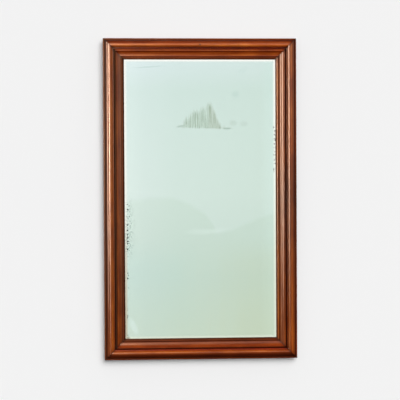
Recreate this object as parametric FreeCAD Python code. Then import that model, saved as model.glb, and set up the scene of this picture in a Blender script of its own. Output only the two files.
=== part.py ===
import FreeCAD
import Part

import math
import os

from FreeCAD import Vector

# A tall wall mirror: a bevelled plate in a mitred walnut moulding, planted on a softwood ground frame.
# X is to the viewer's right, Z is up and the mirror faces -Y. The origin is the centre of the back,
# on the wall plane. A member's section is drawn with two distances: inset, from the frame's outer edge
# towards the opening, and lift, out from the wall. All sizes are in millimetres.

# Overall
overall_width = 930.0
overall_height = 1545.0

# Ground frame: four softwood boards with pegged bridle joints
ground_thickness = 24.0
ground_setback = 3.0
tenon_thickness = 8.0
peg_diameter = 12.0
fit_clearance = 0.05

# Roll moulding: an edge fillet, a quirk, a lopsided roll (easy outside, tight inside) and a foot fillet
edge_height = 12.0
edge_fillet_width = 7.5
edge_round = 2.0
quirk_width = 2.0
quirk_depth = 2.5
roll_outer_radius = 22.0
roll_inner_radius = 11.5
roll_crest_width = 2.0
roll_spring_height = 10.0
foot_fillet_width = 2.0
arris_round = 0.8

# Groove between the two mouldings
groove_floor_height = 7.0
groove_roll_side = 3.0
groove_sight_side = 0.5

# Sight moulding: a rounded nose, a cove, a quirk, a bead and a thin lip over the glass
nose_height = 19.0
nose_radius = 9.0
nose_flat_width = 1.0
cove_step = 1.0
cove_width = 23.5
cove_foot_height = 6.0
bead_quirk_width = 2.0
bead_quirk_depth = 2.0
bead_radius = 4.5
lip_width = 5.0
lip_edge_height = 2.8

# Feather keys across the roll moulding's mitres
key_leg = 40.0
key_thickness = 3.0
key_height = 3.0

# Old nail hole in the crest of the top roll
nail_hole_diameter = 5.0
nail_hole_depth = 20.0

# Mirror plate
glass_rebate_width = 16.0
glass_edge_gap = 2.0
glass_thickness = 6.0
glass_edge_thickness = 2.5
bevel_width = 28.0
coat_thickness = 0.2
seat_clearance = 0.1

# Glazing blocks and setting shims
block_width = 12.0
block_nose = 4.0
block_length = 70.0
block_air_gap = 1.5
block_end_distance = 150.0
blocks_per_stile = 4
blocks_per_rail = 3
shim_count = 2
shim_length = 40.0
shim_depth = 5.0
shim_end_distance = 190.0

# Back boards, lapped along their edges and let into a rebate in the ground frame
board_count = 7
board_thickness = 8.0
board_rebate_width = 12.0
board_end_gap = 1.0
board_gap = 1.0
lap_width = 6.0

# Cut nails through the boards: a tapered shank of even thickness under an oblong head
nail_thickness = 2.0
nail_width = 3.0
nail_tip_width = 1.2
nail_length = 20.0
nail_head_length = 5.5
nail_head_width = 4.0
nail_head_thickness = 1.0
nail_head_sink = 0.3
nails_per_board_end = 2
nail_edge_distance = 35.0
nails_per_rail = 4
rail_nail_end_distance = 110.0

# Ring hangers let into the backs of the stiles
hanger_drop = 300.0
hanger_inset = 38.0
pocket_depth = 9.0
pocket_corner_radius = 6.0
pocket_side_gap = 2.75
pocket_end_gap = 4.0
strap_width = 16.0
strap_length = 54.0
strap_thickness = 2.0
curl_slit = 0.8
ring_stock = 4.5
ring_bar_diameter = 4.2
ring_bar_clearance = 0.2
ring_width = 28.0
ring_height = 28.0
ring_corner_radius = 5.0
ring_rest_gap = 0.15
screw_head_diameter = 8.0
screw_shank_diameter = 4.0
screw_length = 13.5
screw_slot_width = 1.0
screw_slot_depth = 0.9
screw_pitch = 24.0
screw_count = 2
first_screw_drop = 16.0

# Every cutting tool runs past the face it opens by this much
overrun = 1.0

# Places worked out from the sizes above
half_width = overall_width / 2
half_height = overall_height / 2

roll_start = edge_fillet_width + quirk_width
roll_crest_end = roll_start + roll_outer_radius + roll_crest_width
roll_end = roll_crest_end + roll_inner_radius
foot_end = roll_end + foot_fillet_width
moulding_joint = foot_end + groove_roll_side
nose_start = moulding_joint + groove_sight_side
nose_end = nose_start + nose_radius + nose_flat_width
cove_end = nose_end + cove_width
bead_start = cove_end + bead_quirk_width
bead_end = bead_start + 2 * bead_radius
face_width = bead_end + lip_width
roll_crest_height = roll_spring_height + roll_outer_radius

ground_inner = face_width - glass_rebate_width
board_ledge = ground_inner - board_rebate_width
cheek_thickness = (ground_thickness - tenon_thickness) / 2

glass_inset = ground_inner + glass_edge_gap
bevel_share_under_lip = min(1, (face_width - glass_inset) / bevel_width)
glass_at_lip = glass_edge_thickness + (glass_thickness - glass_edge_thickness) * bevel_share_under_lip
glass_back = ground_thickness - seat_clearance - glass_at_lip
coat_back = glass_back - coat_thickness

bore_radius = ring_bar_diameter / 2 + ring_bar_clearance
curl_radius = bore_radius + strap_thickness
strap_face = pocket_depth - strap_thickness
pivot_lift = pocket_depth - curl_radius
pivot_height = half_height - hanger_drop
screw_head_depth = (screw_head_diameter - screw_shank_diameter) / 2
ring_reach = ring_height + ring_stock / 2
ring_lean = math.degrees(math.asin((curl_radius - ring_stock / 2 - ring_rest_gap) / ring_reach))

# How a member drawn along the bottom edge is turned about Y and moved to each side of the frame
SIDES = {
    "bottom": (0, Vector(0, 0, -half_height)),
    "left": (90, Vector(-half_width, 0, 0)),
    "top": (180, Vector(0, 0, half_height)),
    "right": (-90, Vector(half_width, 0, 0)),
}
STILES = {"left": -1, "right": 1}


def on_side(shape, side):
    """A copy of a bottom member, turned and moved to a side of the frame."""
    angle, move = SIDES[side]
    placed = shape.copy()
    placed.rotate(Vector(0, 0, 0), Vector(0, 1, 0), angle)
    placed.translate(move)
    return placed


def side_length(side):
    """The frame's outer length along a side."""
    return overall_width if side in ("top", "bottom") else overall_height


def at(x, lift, z):
    """A point given by its lift from the wall."""
    return Vector(x, -lift, z)


def box(along, lift, height):
    """A box between pairs of X, lift and Z values."""
    sizes = [abs(pair[1] - pair[0]) for pair in (along, lift, height)]
    return Part.makeBox(sizes[0], sizes[1], sizes[2], at(min(along), max(lift), min(height)))


def bar(half_length, inset, lift):
    """A box along a bottom member, centred on its length, between pairs of inset and lift values."""
    return box((-half_length, half_length), lift, inset)


def post(radius, x, z, lift):
    """A round bar standing out from the wall between two lifts."""
    return Part.makeCylinder(radius, lift[1] - lift[0], at(x, lift[0], z), Vector(0, -1, 0))


def prism(points, lift):
    """A flat outline of (x, z) points, raised between two lifts."""
    corners = [at(x, lift[0], z) for x, z in points]
    face = Part.Face(Part.makePolygon(corners + corners[:1]))
    return face.extrude(Vector(0, lift[0] - lift[1], 0))


def length_of(points, along):
    """A closed outline of (lift, z) points, extruded between two X values."""
    corners = [at(along[0], lift, z) for lift, z in points]
    face = Part.Face(Part.makePolygon(corners + corners[:1]))
    return face.extrude(Vector(along[1] - along[0], 0, 0))


def rounded_corner(before, corner, after, radius):
    """Start, middle and end of the arc that rounds a corner between two straight lines."""
    into = (before - corner).normalize()
    out = (after - corner).normalize()
    half_angle = into.getAngle(out) / 2
    towards_centre = (into + out).normalize()
    setback = radius / math.tan(half_angle)
    centre_distance = radius / math.sin(half_angle)
    middle = corner + towards_centre * (centre_distance - radius)
    return corner + into * setback, middle, corner + out * setback


def outline(corners):
    """A closed wire through (point, radius) corners, joined by straight lines and rounded by tangent arcs."""
    count = len(corners)
    arcs = []
    for i, (point, radius) in enumerate(corners):
        if radius:
            before = corners[i - 1][0]
            after = corners[(i + 1) % count][0]
            arcs.append(rounded_corner(before, point, after, radius))
        else:
            arcs.append((point, None, point))
    edges = []
    for i, (start, middle, end) in enumerate(arcs):
        if middle is not None:
            edges.append(Part.Arc(start, middle, end).toShape())
        following = arcs[(i + 1) % count][0]
        if not end.isEqual(following, fit_clearance / 10):
            edges.append(Part.makeLine(end, following))
    return Part.Wire(edges)


def moulding_corner(inset, height, radius=0):
    """A corner of a moulding's section, given by its height above the ground frame's face."""
    return at(0, ground_thickness + height, inset), radius


def roll_section():
    """Face of the roll moulding's section."""
    crest = roll_crest_height
    quirk_floor = edge_height - quirk_depth
    outer_round = min(roll_outer_radius, crest - quirk_floor)
    return Part.Face(
        outline(
            [
                moulding_corner(0, 0),
                moulding_corner(0, edge_height, edge_round),
                moulding_corner(edge_fillet_width, edge_height, arris_round),
                moulding_corner(edge_fillet_width, quirk_floor),
                moulding_corner(roll_start, quirk_floor),
                moulding_corner(roll_start, crest, outer_round),
                moulding_corner(roll_end, crest, roll_inner_radius),
                moulding_corner(roll_end, edge_height),
                moulding_corner(foot_end, edge_height, arris_round),
                moulding_corner(foot_end, groove_floor_height),
                moulding_corner(moulding_joint, groove_floor_height),
                moulding_corner(moulding_joint, 0),
            ]
        )
    )


def cove_arc():
    """The cove: an arc that leaves the step steeply and runs out level at its foot."""
    drop = nose_height - cove_step - cove_foot_height
    radius = (cove_width**2 + drop**2) / (2 * drop)
    sweep = math.asin(min(1, cove_width / radius))
    middle_inset = cove_end - radius * math.sin(sweep / 2)
    middle_height = cove_foot_height + radius * (1 - math.cos(sweep / 2))
    start = moulding_corner(nose_end, cove_foot_height + drop)[0]
    middle = moulding_corner(middle_inset, middle_height)[0]
    end = moulding_corner(cove_end, cove_foot_height)[0]
    return Part.Arc(start, middle, end).toShape()


def sight_section():
    """Face of the sight moulding's section: a rounded outline less the hollow of the cove."""
    quirk_floor = cove_foot_height - bead_quirk_depth
    blank = Part.Face(
        outline(
            [
                moulding_corner(moulding_joint, 0),
                moulding_corner(moulding_joint, groove_floor_height),
                moulding_corner(nose_start, groove_floor_height),
                moulding_corner(nose_start, nose_height, nose_radius),
                moulding_corner(nose_end, nose_height, arris_round),
                moulding_corner(nose_end, nose_height - cove_step),
                moulding_corner(cove_end, cove_foot_height),
                moulding_corner(cove_end, quirk_floor),
                moulding_corner(bead_start, quirk_floor),
                moulding_corner(bead_start, quirk_floor + bead_radius, bead_radius),
                moulding_corner(bead_end, quirk_floor + bead_radius, bead_radius),
                moulding_corner(bead_end, quirk_floor),
                moulding_corner(face_width, lip_edge_height),
                moulding_corner(face_width, 0),
            ]
        )
    )
    arc = cove_arc()
    ends = [vertex.Point for vertex in arc.Vertexes]
    hollow = Part.Face(Part.Wire([arc, Part.makeLine(ends[1], ends[0])]))
    return blank.cut(hollow)


def mitred_moulding(section, side):
    """A length of moulding for one side of the frame, mitred at both ends."""
    half_length = side_length(side) / 2
    stock = section.translated(Vector(-half_length, 0, 0)).extrude(Vector(2 * half_length, 0, 0))
    clip = prism(
        [
            (-half_length, 0),
            (half_length, 0),
            (half_length - face_width, face_width),
            (face_width - half_length, face_width),
        ],
        (ground_thickness - overrun, ground_thickness + roll_crest_height + overrun),
    )
    return on_side(stock.common(clip).Solids[0], side)


def corner_keys():
    """Thin triangular feathers let in across the four mitres of the roll moulding."""
    lift = (ground_thickness + key_height, ground_thickness + key_height + key_thickness)
    keys = []
    for x in (-1, 1):
        for z in (-1, 1):
            corner = (x * half_width, z * half_height)
            inward = (corner[0] - x * key_leg, corner[1] - z * key_leg)
            keys.append(prism([corner, (inward[0], corner[1]), (corner[0], inward[1])], lift))
    return Part.makeCompound(keys)


def roll_moulding(side):
    """One side's roll moulding, with slots for the keys and, at the top, the old nail hole."""
    moulding = mitred_moulding(roll_section(), side).cut(corner_keys())
    if side == "top":
        crest = ground_thickness + roll_crest_height
        hole_height = half_height - roll_crest_end
        hole = post(nail_hole_diameter / 2, 0, hole_height, (crest - nail_hole_depth, crest + overrun))
        moulding = moulding.cut(hole)
    return moulding


def sight_moulding(side):
    """One side's sight moulding."""
    return mitred_moulding(sight_section(), side)


def corner_pegs(clearance=0):
    """A round peg through the middle of each of the ground frame's corner joints."""
    radius = peg_diameter / 2 + clearance
    middle = (ground_setback + ground_inner) / 2
    places = [(x * (half_width - middle), z * (half_height - middle)) for x in (-1, 1) for z in (-1, 1)]
    return Part.makeCompound([post(radius, x, z, (0, ground_thickness)) for x, z in places])


def ground_rail(side):
    """A cross member: its tenons fill the stiles' open mortises, and long shoulders fill the stiles' rebates."""
    half_length = side_length(side) / 2
    whole = (ground_setback, ground_inner)
    tenon_lift = (cheek_thickness, cheek_thickness + tenon_thickness)
    rail = bar(half_length - ground_inner, whole, (0, ground_thickness))
    rail = rail.fuse(bar(half_length - ground_setback, whole, tenon_lift))
    rail = rail.fuse(bar(half_length - board_ledge, (ground_setback, board_ledge), (0, board_thickness)))
    ledge = (board_ledge, ground_inner + overrun)
    rail = rail.cut(bar(half_length - board_ledge, ledge, (-overrun, board_thickness)))
    rail = on_side(rail.removeSplitter(), side)
    return rail.cut(corner_pegs(fit_clearance)).cut(board_nails(fit_clearance))


def ground_stile(side):
    """An upright: open mortises at both ends, a rebate for the boards and a pocket for the hanger."""
    half_length = side_length(side) / 2
    stile = bar(half_length - ground_setback, (ground_setback, ground_inner), (0, ground_thickness))
    tenon_lift = (cheek_thickness, cheek_thickness + tenon_thickness)
    for end in (-1, 1):
        mouth = (end * (half_length - ground_inner), end * (half_length + overrun))
        stile = stile.cut(box(mouth, tenon_lift, (0, ground_inner + overrun)))
    ledge = (board_ledge, ground_inner + overrun)
    stile = stile.cut(bar(half_length, ledge, (-overrun, board_thickness)))
    stile = on_side(stile, side)
    for cutter in (corner_pegs(fit_clearance), board_nails(fit_clearance), hanger_pocket(side)):
        stile = stile.cut(cutter)
    return stile.cut(hanger_screws([side], fit_clearance))


def rectangle(inset, lift):
    """A wire round the frame at one inset and lift."""
    x = half_width - inset
    z = half_height - inset
    corners = [at(-x, lift, -z), at(x, lift, -z), at(x, lift, z), at(-x, lift, z)]
    return Part.makePolygon(corners + corners[:1])


def plate(inset, lift):
    """A rectangular plate with its edges at one inset, between two lifts."""
    return Part.Face(rectangle(inset, lift[0])).extrude(Vector(0, lift[0] - lift[1], 0))


def mirror_glass():
    """The bevelled plate: square edges below, then a bevel all round the front."""
    edge_top = glass_back + glass_edge_thickness
    base = plate(glass_inset, (glass_back, edge_top))
    outer = rectangle(glass_inset, edge_top)
    inner = rectangle(glass_inset + bevel_width, glass_back + glass_thickness)
    return base.fuse(Part.makeLoft([outer, inner], True, True)).removeSplitter()


def silvering():
    """The reflecting coat and its paint on the back of the plate."""
    return plate(glass_inset, (coat_back, glass_back))


def spread(count, length, end_distance):
    """Evenly spaced places along a length, the outer ones a set distance from its ends."""
    if count == 1:
        return [0]
    reach = length / 2 - end_distance
    return [reach * (2 * i / (count - 1) - 1) for i in range(count)]


def glazing_blocks(side):
    """Softwood blocks glued to the inside of the ground frame, holding the plate forward."""
    front = coat_back
    back = board_thickness + block_air_gap
    section = [
        (front, ground_inner),
        (front, ground_inner + block_width),
        (front - block_nose, ground_inner + block_width),
        (back, ground_inner + block_nose),
        (back, ground_inner),
    ]
    count = blocks_per_rail if side in ("top", "bottom") else blocks_per_stile
    half = block_length / 2
    middles = spread(count, side_length(side), block_end_distance)
    blocks = [length_of(section, (middle - half, middle + half)) for middle in middles]
    return on_side(Part.makeCompound(blocks), side)


def setting_shims():
    """Two thin shims under the plate's lower edge."""
    shims = []
    for middle in spread(shim_count, overall_width, shim_end_distance):
        along = (middle - shim_length / 2, middle + shim_length / 2)
        lift = (coat_back, min(coat_back + shim_depth, ground_thickness))
        shims.append(box(along, lift, (ground_inner - half_height, glass_inset - half_height)))
    return Part.makeCompound(shims)


def board_levels():
    """Z of the joints between the back boards, from the bottom to the top of their opening."""
    reach = half_height - board_ledge
    return [reach * (2 * i / board_count - 1) for i in range(board_count + 1)]


def back_board(index):
    """One horizontal board: its upper edge has a tongue in front and its lower edge is cut back to take one."""
    levels = board_levels()
    is_lowest = index == 0
    is_highest = index == board_count - 1
    bottom = levels[index] + (board_end_gap if is_lowest else board_gap / 2)
    top = levels[index + 1] - (board_end_gap if is_highest else board_gap / 2)
    end = half_width - board_ledge - board_end_gap
    middle = board_thickness / 2
    board = box((-end, end), (0, board_thickness), (bottom, top))
    if not is_highest:
        tongue = box((-end, end), (middle, board_thickness), (top, top + lap_width))
        board = board.fuse(tongue).removeSplitter()
    if not is_lowest:
        throat_lift = (middle, board_thickness + overrun)
        board = board.cut(box((-end, end), throat_lift, (bottom - overrun, bottom + lap_width)))
    return board.cut(board_nails(fit_clearance))


def board_nail_places():
    """(x, z) of every nail through the boards, over the middle of the ground frame's ledge."""
    ledge_middle = (board_ledge + ground_inner) / 2
    levels = board_levels()
    places = []
    for low, high in zip(levels, levels[1:]):
        for z in spread(nails_per_board_end, high - low, nail_edge_distance):
            for x in (-1, 1):
                places.append((x * (half_width - ledge_middle), (low + high) / 2 + z))
    for x in spread(nails_per_rail, overall_width, rail_nail_end_distance + ledge_middle):
        for z in (-1, 1):
            places.append((x, z * (half_height - ledge_middle)))
    return places


def board_nails(clearance=0):
    """The nails, driven a little below the boards' backs; with a clearance, the tool that cuts their holes."""
    head_bottom = nail_head_sink + nail_head_thickness + clearance
    head_top = -overrun if clearance else nail_head_sink
    half = (nail_head_length / 2 + clearance, nail_head_width / 2 + clearance)
    thick = nail_thickness / 2 + clearance
    wide = nail_width / 2 + clearance
    tip = nail_tip_width / 2 + clearance
    nails = []
    for x, z in board_nail_places():
        head = box((x - half[0], x + half[0]), (head_top, head_bottom), (z - half[1], z + half[1]))
        taper = [
            (nail_head_sink, z - wide),
            (nail_head_sink, z + wide),
            (nail_length + clearance, z + tip),
            (nail_length + clearance, z - tip),
        ]
        nails.append(head.fuse(length_of(taper, (x - thick, x + thick))).removeSplitter())
    return Part.makeCompound(nails)


def hanger_middle(side):
    """X of a hanger's centre line."""
    return STILES[side] * (half_width - hanger_inset)


def hanger_pocket(side):
    """Round-cornered pocket in a stile's back, with room for the ring lying up or down."""
    x = hanger_middle(side)
    half = (ring_width + ring_stock) / 2 + pocket_side_gap
    top = pivot_height + ring_reach + pocket_end_gap
    bottom = pivot_height - strap_length - pocket_end_gap
    corners = [(x - half, bottom), (x + half, bottom), (x + half, top), (x - half, top)]
    wire = outline([(at(a, -overrun, b), pocket_corner_radius) for a, b in corners])
    return Part.Face(wire).extrude(Vector(0, -overrun - pocket_depth, 0))


def hanger_strap(side):
    """A strap with a curl round the ring's bar, a round foot and countersunk holes."""
    x = hanger_middle(side)
    half = strap_width / 2
    along = (x - half, x + half)
    foot = pivot_height - strap_length + half
    strap = box(along, (strap_face, pocket_depth), (foot, pivot_height))
    strap = strap.fuse(post(half, x, foot, (strap_face, pocket_depth)))
    curl_start = at(x - half, pivot_lift, pivot_height)
    strap = strap.fuse(Part.makeCylinder(curl_radius, strap_width, curl_start, Vector(1, 0, 0)))
    bore_start = at(x - half - overrun, pivot_lift, pivot_height)
    strap = strap.cut(
        Part.makeCylinder(bore_radius, strap_width + 2 * overrun, bore_start, Vector(1, 0, 0))
    )
    slit_along = (x - half - overrun, x + half + overrun)
    slit = box(
        slit_along,
        (strap_face - curl_slit, strap_face),
        (pivot_height - curl_radius - overrun, pivot_height),
    )
    return strap.cut(slit).cut(hanger_screws([side], fit_clearance)).removeSplitter()


def hanger_screws(sides, clearance=0):
    """Countersunk screws, flush with the strap; with a clearance, the tool that cuts their holes."""
    head_radius = screw_head_diameter / 2 + clearance
    shank_radius = screw_shank_diameter / 2 + clearance
    levels = [pivot_height - first_screw_drop - i * screw_pitch for i in range(screw_count)]
    screws = []
    for x, z in [(hanger_middle(side), z) for side in sides for z in levels]:
        top = at(x, strap_face, z)
        head = Part.makeCone(head_radius, shank_radius, screw_head_depth, top, Vector(0, -1, 0))
        shank_lift = (strap_face + screw_head_depth, strap_face + screw_length + clearance)
        screw = head.fuse(post(shank_radius, x, z, shank_lift))
        if not clearance:
            slot_along = (x - head_radius, x + head_radius)
            slot_height = (z - screw_slot_width / 2, z + screw_slot_width / 2)
            screw = screw.cut(box(slot_along, (strap_face - overrun, strap_face + screw_slot_depth), slot_height))
        screws.append(screw)
    return Part.makeCompound(screws)


def hanger_ring(side):
    """A forged D ring of square stock with a round bar, standing up and leaning on the pocket's floor."""
    half = ring_width / 2
    corners = [
        (at(-half, 0, 0), ring_corner_radius),
        (at(half, 0, 0), ring_corner_radius),
        (at(half, 0, ring_height), half),
        (at(-half, 0, ring_height), half),
    ]
    middle_line = Part.Face(outline(corners))
    ring = middle_line.makeOffset2D(ring_stock / 2).cut(middle_line.makeOffset2D(-ring_stock / 2))
    ring = ring.extrude(Vector(0, ring_stock, 0)).translated(Vector(0, -ring_stock / 2, 0))
    bar_half = half - ring_corner_radius
    ring = ring.cut(box((-bar_half, bar_half), (-ring_stock, ring_stock), (-ring_stock, ring_stock)))
    bar_start = Vector(-bar_half, 0, 0)
    bar = Part.makeCylinder(ring_bar_diameter / 2, 2 * bar_half, bar_start, Vector(1, 0, 0))
    ring = ring.fuse(bar).Solids[0]
    ring.rotate(Vector(0, 0, 0), Vector(1, 0, 0), ring_lean)
    ring.translate(at(hanger_middle(side), pivot_lift, pivot_height))
    return ring


def all_nodes():
    """Every sub-part by its node name."""
    nodes = {}
    for side in SIDES:
        nodes[f"roll_moulding_{side}"] = roll_moulding(side)
        nodes[f"sight_moulding_{side}"] = sight_moulding(side)
        nodes[f"glazing_blocks_{side}"] = glazing_blocks(side)
    for side in ("top", "bottom"):
        nodes[f"ground_rail_{side}"] = ground_rail(side)
    for side in STILES:
        nodes[f"ground_stile_{side}"] = ground_stile(side)
        nodes[f"hanger_strap_{side}"] = hanger_strap(side)
        nodes[f"hanger_ring_{side}"] = hanger_ring(side)
    for index in range(board_count):
        nodes[f"back_board_{index + 1}"] = back_board(index)
    nodes["corner_keys"] = corner_keys()
    nodes["corner_pegs"] = corner_pegs()
    nodes["mirror_glass"] = mirror_glass()
    nodes["silvering"] = silvering()
    nodes["setting_shims"] = setting_shims()
    nodes["board_nails"] = board_nails()
    nodes["hanger_screws"] = hanger_screws(STILES)
    return nodes


def main():
    """Build every sub-part and write one STEP file for each."""
    os.makedirs("parts", exist_ok=True)
    for name, shape in all_nodes().items():
        shape.exportStep(f"parts/{name}.step")
        print(name, len(shape.Solids), round(shape.Volume / 1000, 2), "cm3")


main()
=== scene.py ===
"""A bistro mirror: a bevelled plate in a mitred, polished frame, with back boards and two iron rings.

Lengths are in metres. X runs to the viewer's right, Z up. The mirror faces -Y, with its back on the plane
Y = 0. A member is drawn as the bottom side of the frame, with its length on X, then turned to its own side.
Its section is given by an inset, from the frame's outer edge towards the opening, and a rise above the
ground frame's face.
"""

import logging
import math
from dataclasses import dataclass
from enum import Enum
from functools import partial
from typing import ClassVar

import bmesh
import bpy
from mathutils import Matrix, Vector

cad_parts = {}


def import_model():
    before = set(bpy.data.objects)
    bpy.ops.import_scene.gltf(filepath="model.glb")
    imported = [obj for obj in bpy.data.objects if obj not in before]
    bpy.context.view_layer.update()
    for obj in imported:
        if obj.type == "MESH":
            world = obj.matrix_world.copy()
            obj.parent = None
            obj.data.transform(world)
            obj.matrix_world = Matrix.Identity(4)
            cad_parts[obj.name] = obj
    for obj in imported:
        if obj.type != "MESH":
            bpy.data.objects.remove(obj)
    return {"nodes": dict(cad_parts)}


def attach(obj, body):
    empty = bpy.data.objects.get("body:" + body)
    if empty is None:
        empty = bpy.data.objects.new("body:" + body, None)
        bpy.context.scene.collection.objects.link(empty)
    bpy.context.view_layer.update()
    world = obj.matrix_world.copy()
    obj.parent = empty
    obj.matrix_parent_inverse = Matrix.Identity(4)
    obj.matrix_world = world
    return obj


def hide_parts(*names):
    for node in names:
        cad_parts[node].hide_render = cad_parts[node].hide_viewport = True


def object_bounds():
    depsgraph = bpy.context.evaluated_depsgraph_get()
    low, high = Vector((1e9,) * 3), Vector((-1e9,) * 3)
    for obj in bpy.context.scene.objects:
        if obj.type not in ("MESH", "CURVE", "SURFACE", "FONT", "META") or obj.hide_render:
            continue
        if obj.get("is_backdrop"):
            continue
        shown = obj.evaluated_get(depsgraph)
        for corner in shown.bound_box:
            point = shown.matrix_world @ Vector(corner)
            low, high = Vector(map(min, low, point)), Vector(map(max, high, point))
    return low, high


LOG = logging.getLogger("bistro_mirror")

Stops = tuple[tuple[float, str | float], ...]
Point = tuple[float, float, float]
Source = bpy.types.Node | bpy.types.NodeSocket
Value = Source | str | float | Point
Inputs = dict[str | int, Value]
Nodes = dict[str, bpy.types.Object]
Part = bmesh.types.BMVert | bmesh.types.BMEdge | bmesh.types.BMFace
Faces = list[bmesh.types.BMFace]

MM = 0.001
FRAME_BODY = "frame"
QUARTER_TURN = math.radians(90)

ONE_POINT = 1e-6
"""Points of a drawn mesh that lie nearer than this are merged."""

ONE_CAD_POINT = 1e-5
ONE_CAD_FACE = math.radians(1)
"""Points of a CAD mesh that lie nearer than this, and faces that turn less than this, are merged."""

CUT_WITHIN = 1e-7
"""Points that lie nearer than this to a saw cut are on it."""

SMOOTH_BELOW = math.radians(32)
"""Edges that turn less than this are shaded smooth."""

SHARP_ABOVE = math.radians(60)
EASED_OVER = 40 * MM
"""Edges of planed wood that turn outwards by more than this, and are longer than this, are eased."""

PLANED = 0.7 * MM
"""How far back a plane eases those edges."""

TINTED = {"data_type": "RGBA", "blend_type": "MULTIPLY"}
"""A Mix node that lays a tint over a colour."""

COVERED = {"data_type": "RGBA"}
"""A Mix node that covers one colour with another."""

SOFTLY = {"interpolation_type": "SMOOTHSTEP"}
"""A Map Range node that starts and ends gently."""

UNTINTED: Stops = ((0.0, "#FFFFFF"),)
"""A ramp that leaves a colour as it is."""

WAVE_SCALE = 2 * math.pi / 20
"""Scale of a Wave node that draws one ring to the metre."""


def linear(code: str) -> tuple[float, float, float, float]:
    """Turn an sRGB colour into a scene colour.

    Args:
        code: A colour as "#RRGGBB".

    Returns:
        The linear red, green and blue, and an alpha of 1.
    """
    shares = [int(code[i : i + 2], 16) / 255 for i in (1, 3, 5)]
    values = [s / 12.92 if s <= 0.04045 else ((s + 0.055) / 1.055) ** 2.4 for s in shares]
    return (values[0], values[1], values[2], 1.0)


def in_use(sockets: bpy.types.bpy_prop_collection, name: str | None = None) -> bpy.types.NodeSocket:
    """The first socket that a node's settings leave in use, or the first of that name."""
    return next(s for s in sockets if s.enabled and name in (None, s.name))


def feed(tree: bpy.types.NodeTree, socket: bpy.types.NodeSocket, value: Value) -> None:
    """Link or set an input.

    Args:
        tree: The node tree.
        socket: The input.
        value: A value, a hex colour, a socket, or a node, which gives its first output in use.
    """
    if isinstance(value, bpy.types.Node):
        value = in_use(value.outputs)
    if isinstance(value, bpy.types.NodeSocket):
        tree.links.new(value, socket)
    else:
        socket.default_value = linear(value) if isinstance(value, str) else value


def add_node(
    tree: bpy.types.NodeTree, kind: str, inputs: Inputs | None = None, stops: Stops = (), **settings: object
) -> bpy.types.Node:
    """Add a shader node with its settings, its ramp's colours, and its inputs.

    Args:
        tree: The node tree that the node joins.
        kind: The node's type name, without its "ShaderNode".
        inputs: What feeds each input, by its name or index.
        stops: Positions of a colour ramp, each with a hex colour or a plain value.
        **settings: Properties of the node itself.

    Returns:
        The new node.
    """
    node = tree.nodes.new(f"ShaderNode{kind}")
    for name, value in settings.items():
        setattr(node, name, value)
    if stops:
        elements = node.color_ramp.elements
        elements.remove(elements[-1])
        elements[0].position = stops[0][0]
        for place, tint in stops:
            element = elements[0] if place == stops[0][0] else elements.new(place)
            element.color = linear(tint) if isinstance(tint, str) else (tint, tint, tint, 1.0)
    for key, value in (inputs or {}).items():
        socket = in_use(node.inputs, key) if isinstance(key, str) else node.inputs[key]
        feed(tree, socket, value)
    return node


class Side(Enum):
    """A side of the frame, with the turn about Y, in degrees, that brings it to the bottom."""

    BOTTOM = 0
    LEFT = -90
    TOP = 180
    RIGHT = 90

    @property
    def label(self) -> str:
        """The side's name, as the nodes spell it."""
        return self.name.lower()

    @property
    def upright(self) -> bool:
        """True for the two stiles."""
        return self in (Side.LEFT, Side.RIGHT)


@dataclass(frozen=True)
class Outline:
    """The frame's outer size, and how a member lies in it."""

    width: float = 930 * MM
    height: float = 1545 * MM
    ground_thickness: float = 24 * MM
    face_width: float = 100 * MM

    def across(self, side: Side) -> float:
        """Distance from the mirror's centre to a side's outer edge."""
        return (self.width if side.upright else self.height) / 2

    def along(self, side: Side) -> float:
        """Half the outer length of a side."""
        return (self.height if side.upright else self.width) / 2

    def placed(self, side: Side) -> Matrix:
        """The move that takes a member drawn from its outer edge to its side of the frame."""
        down = Matrix.Translation((0, 0, -self.across(side)))
        return Matrix.Rotation(math.radians(-side.value), 4, "Y") @ down


class Sheet:
    """A material's node tree, with its shader and the coordinates that its patterns read."""

    def __init__(self, name: str) -> None:
        """Start an empty material with a surface shader.

        Args:
            name: The material's name.
        """
        self.material = bpy.data.materials.new(name)
        self.material.use_nodes = True
        self.tree = self.material.node_tree
        self.tree.nodes.clear()
        self.shader = self.add("BsdfPrincipled")
        self.output = self.add("OutputMaterial", {"Surface": self.shader})
        self.place = self.add("TexCoord").outputs["Object"]

    def add(
        self, kind: str, inputs: Inputs | None = None, stops: Stops = (), **settings: object
    ) -> bpy.types.Node:
        """Add a node to this material; see add_node."""
        return add_node(self.tree, kind, inputs, stops, **settings)

    def grain(
        self, vector: Source, cell: Point, start: Point = (0, 0, 0), **noise: float
    ) -> bpy.types.Node:
        """Lay an uneven pattern that is drawn out one way, as grain and runs are.

        Args:
            vector: The coordinates that it reads.
            cell: Size of its cells on X, Y and Z.
            start: Where in the pattern the piece lies.
            **noise: Its detail and the like, by the input's name.

        Returns:
            The pattern, from 0 to 1.
        """
        scale = tuple(1 / size for size in cell)
        drawn = self.add("Mapping", {"Vector": vector, "Location": start, "Scale": scale})
        return self.add("TexNoise", {"Vector": drawn, "Scale": 1.0, **noise})

    def shade(self, **values: Value) -> bpy.types.Material:
        """Set or link the shader's sockets.

        Args:
            **values: What feeds each input, by its name with underscores for spaces.

        Returns:
            The finished material.
        """
        for name, value in values.items():
            feed(self.tree, self.shader.inputs[name.replace("_", " ")], value)
        return self.material


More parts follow.
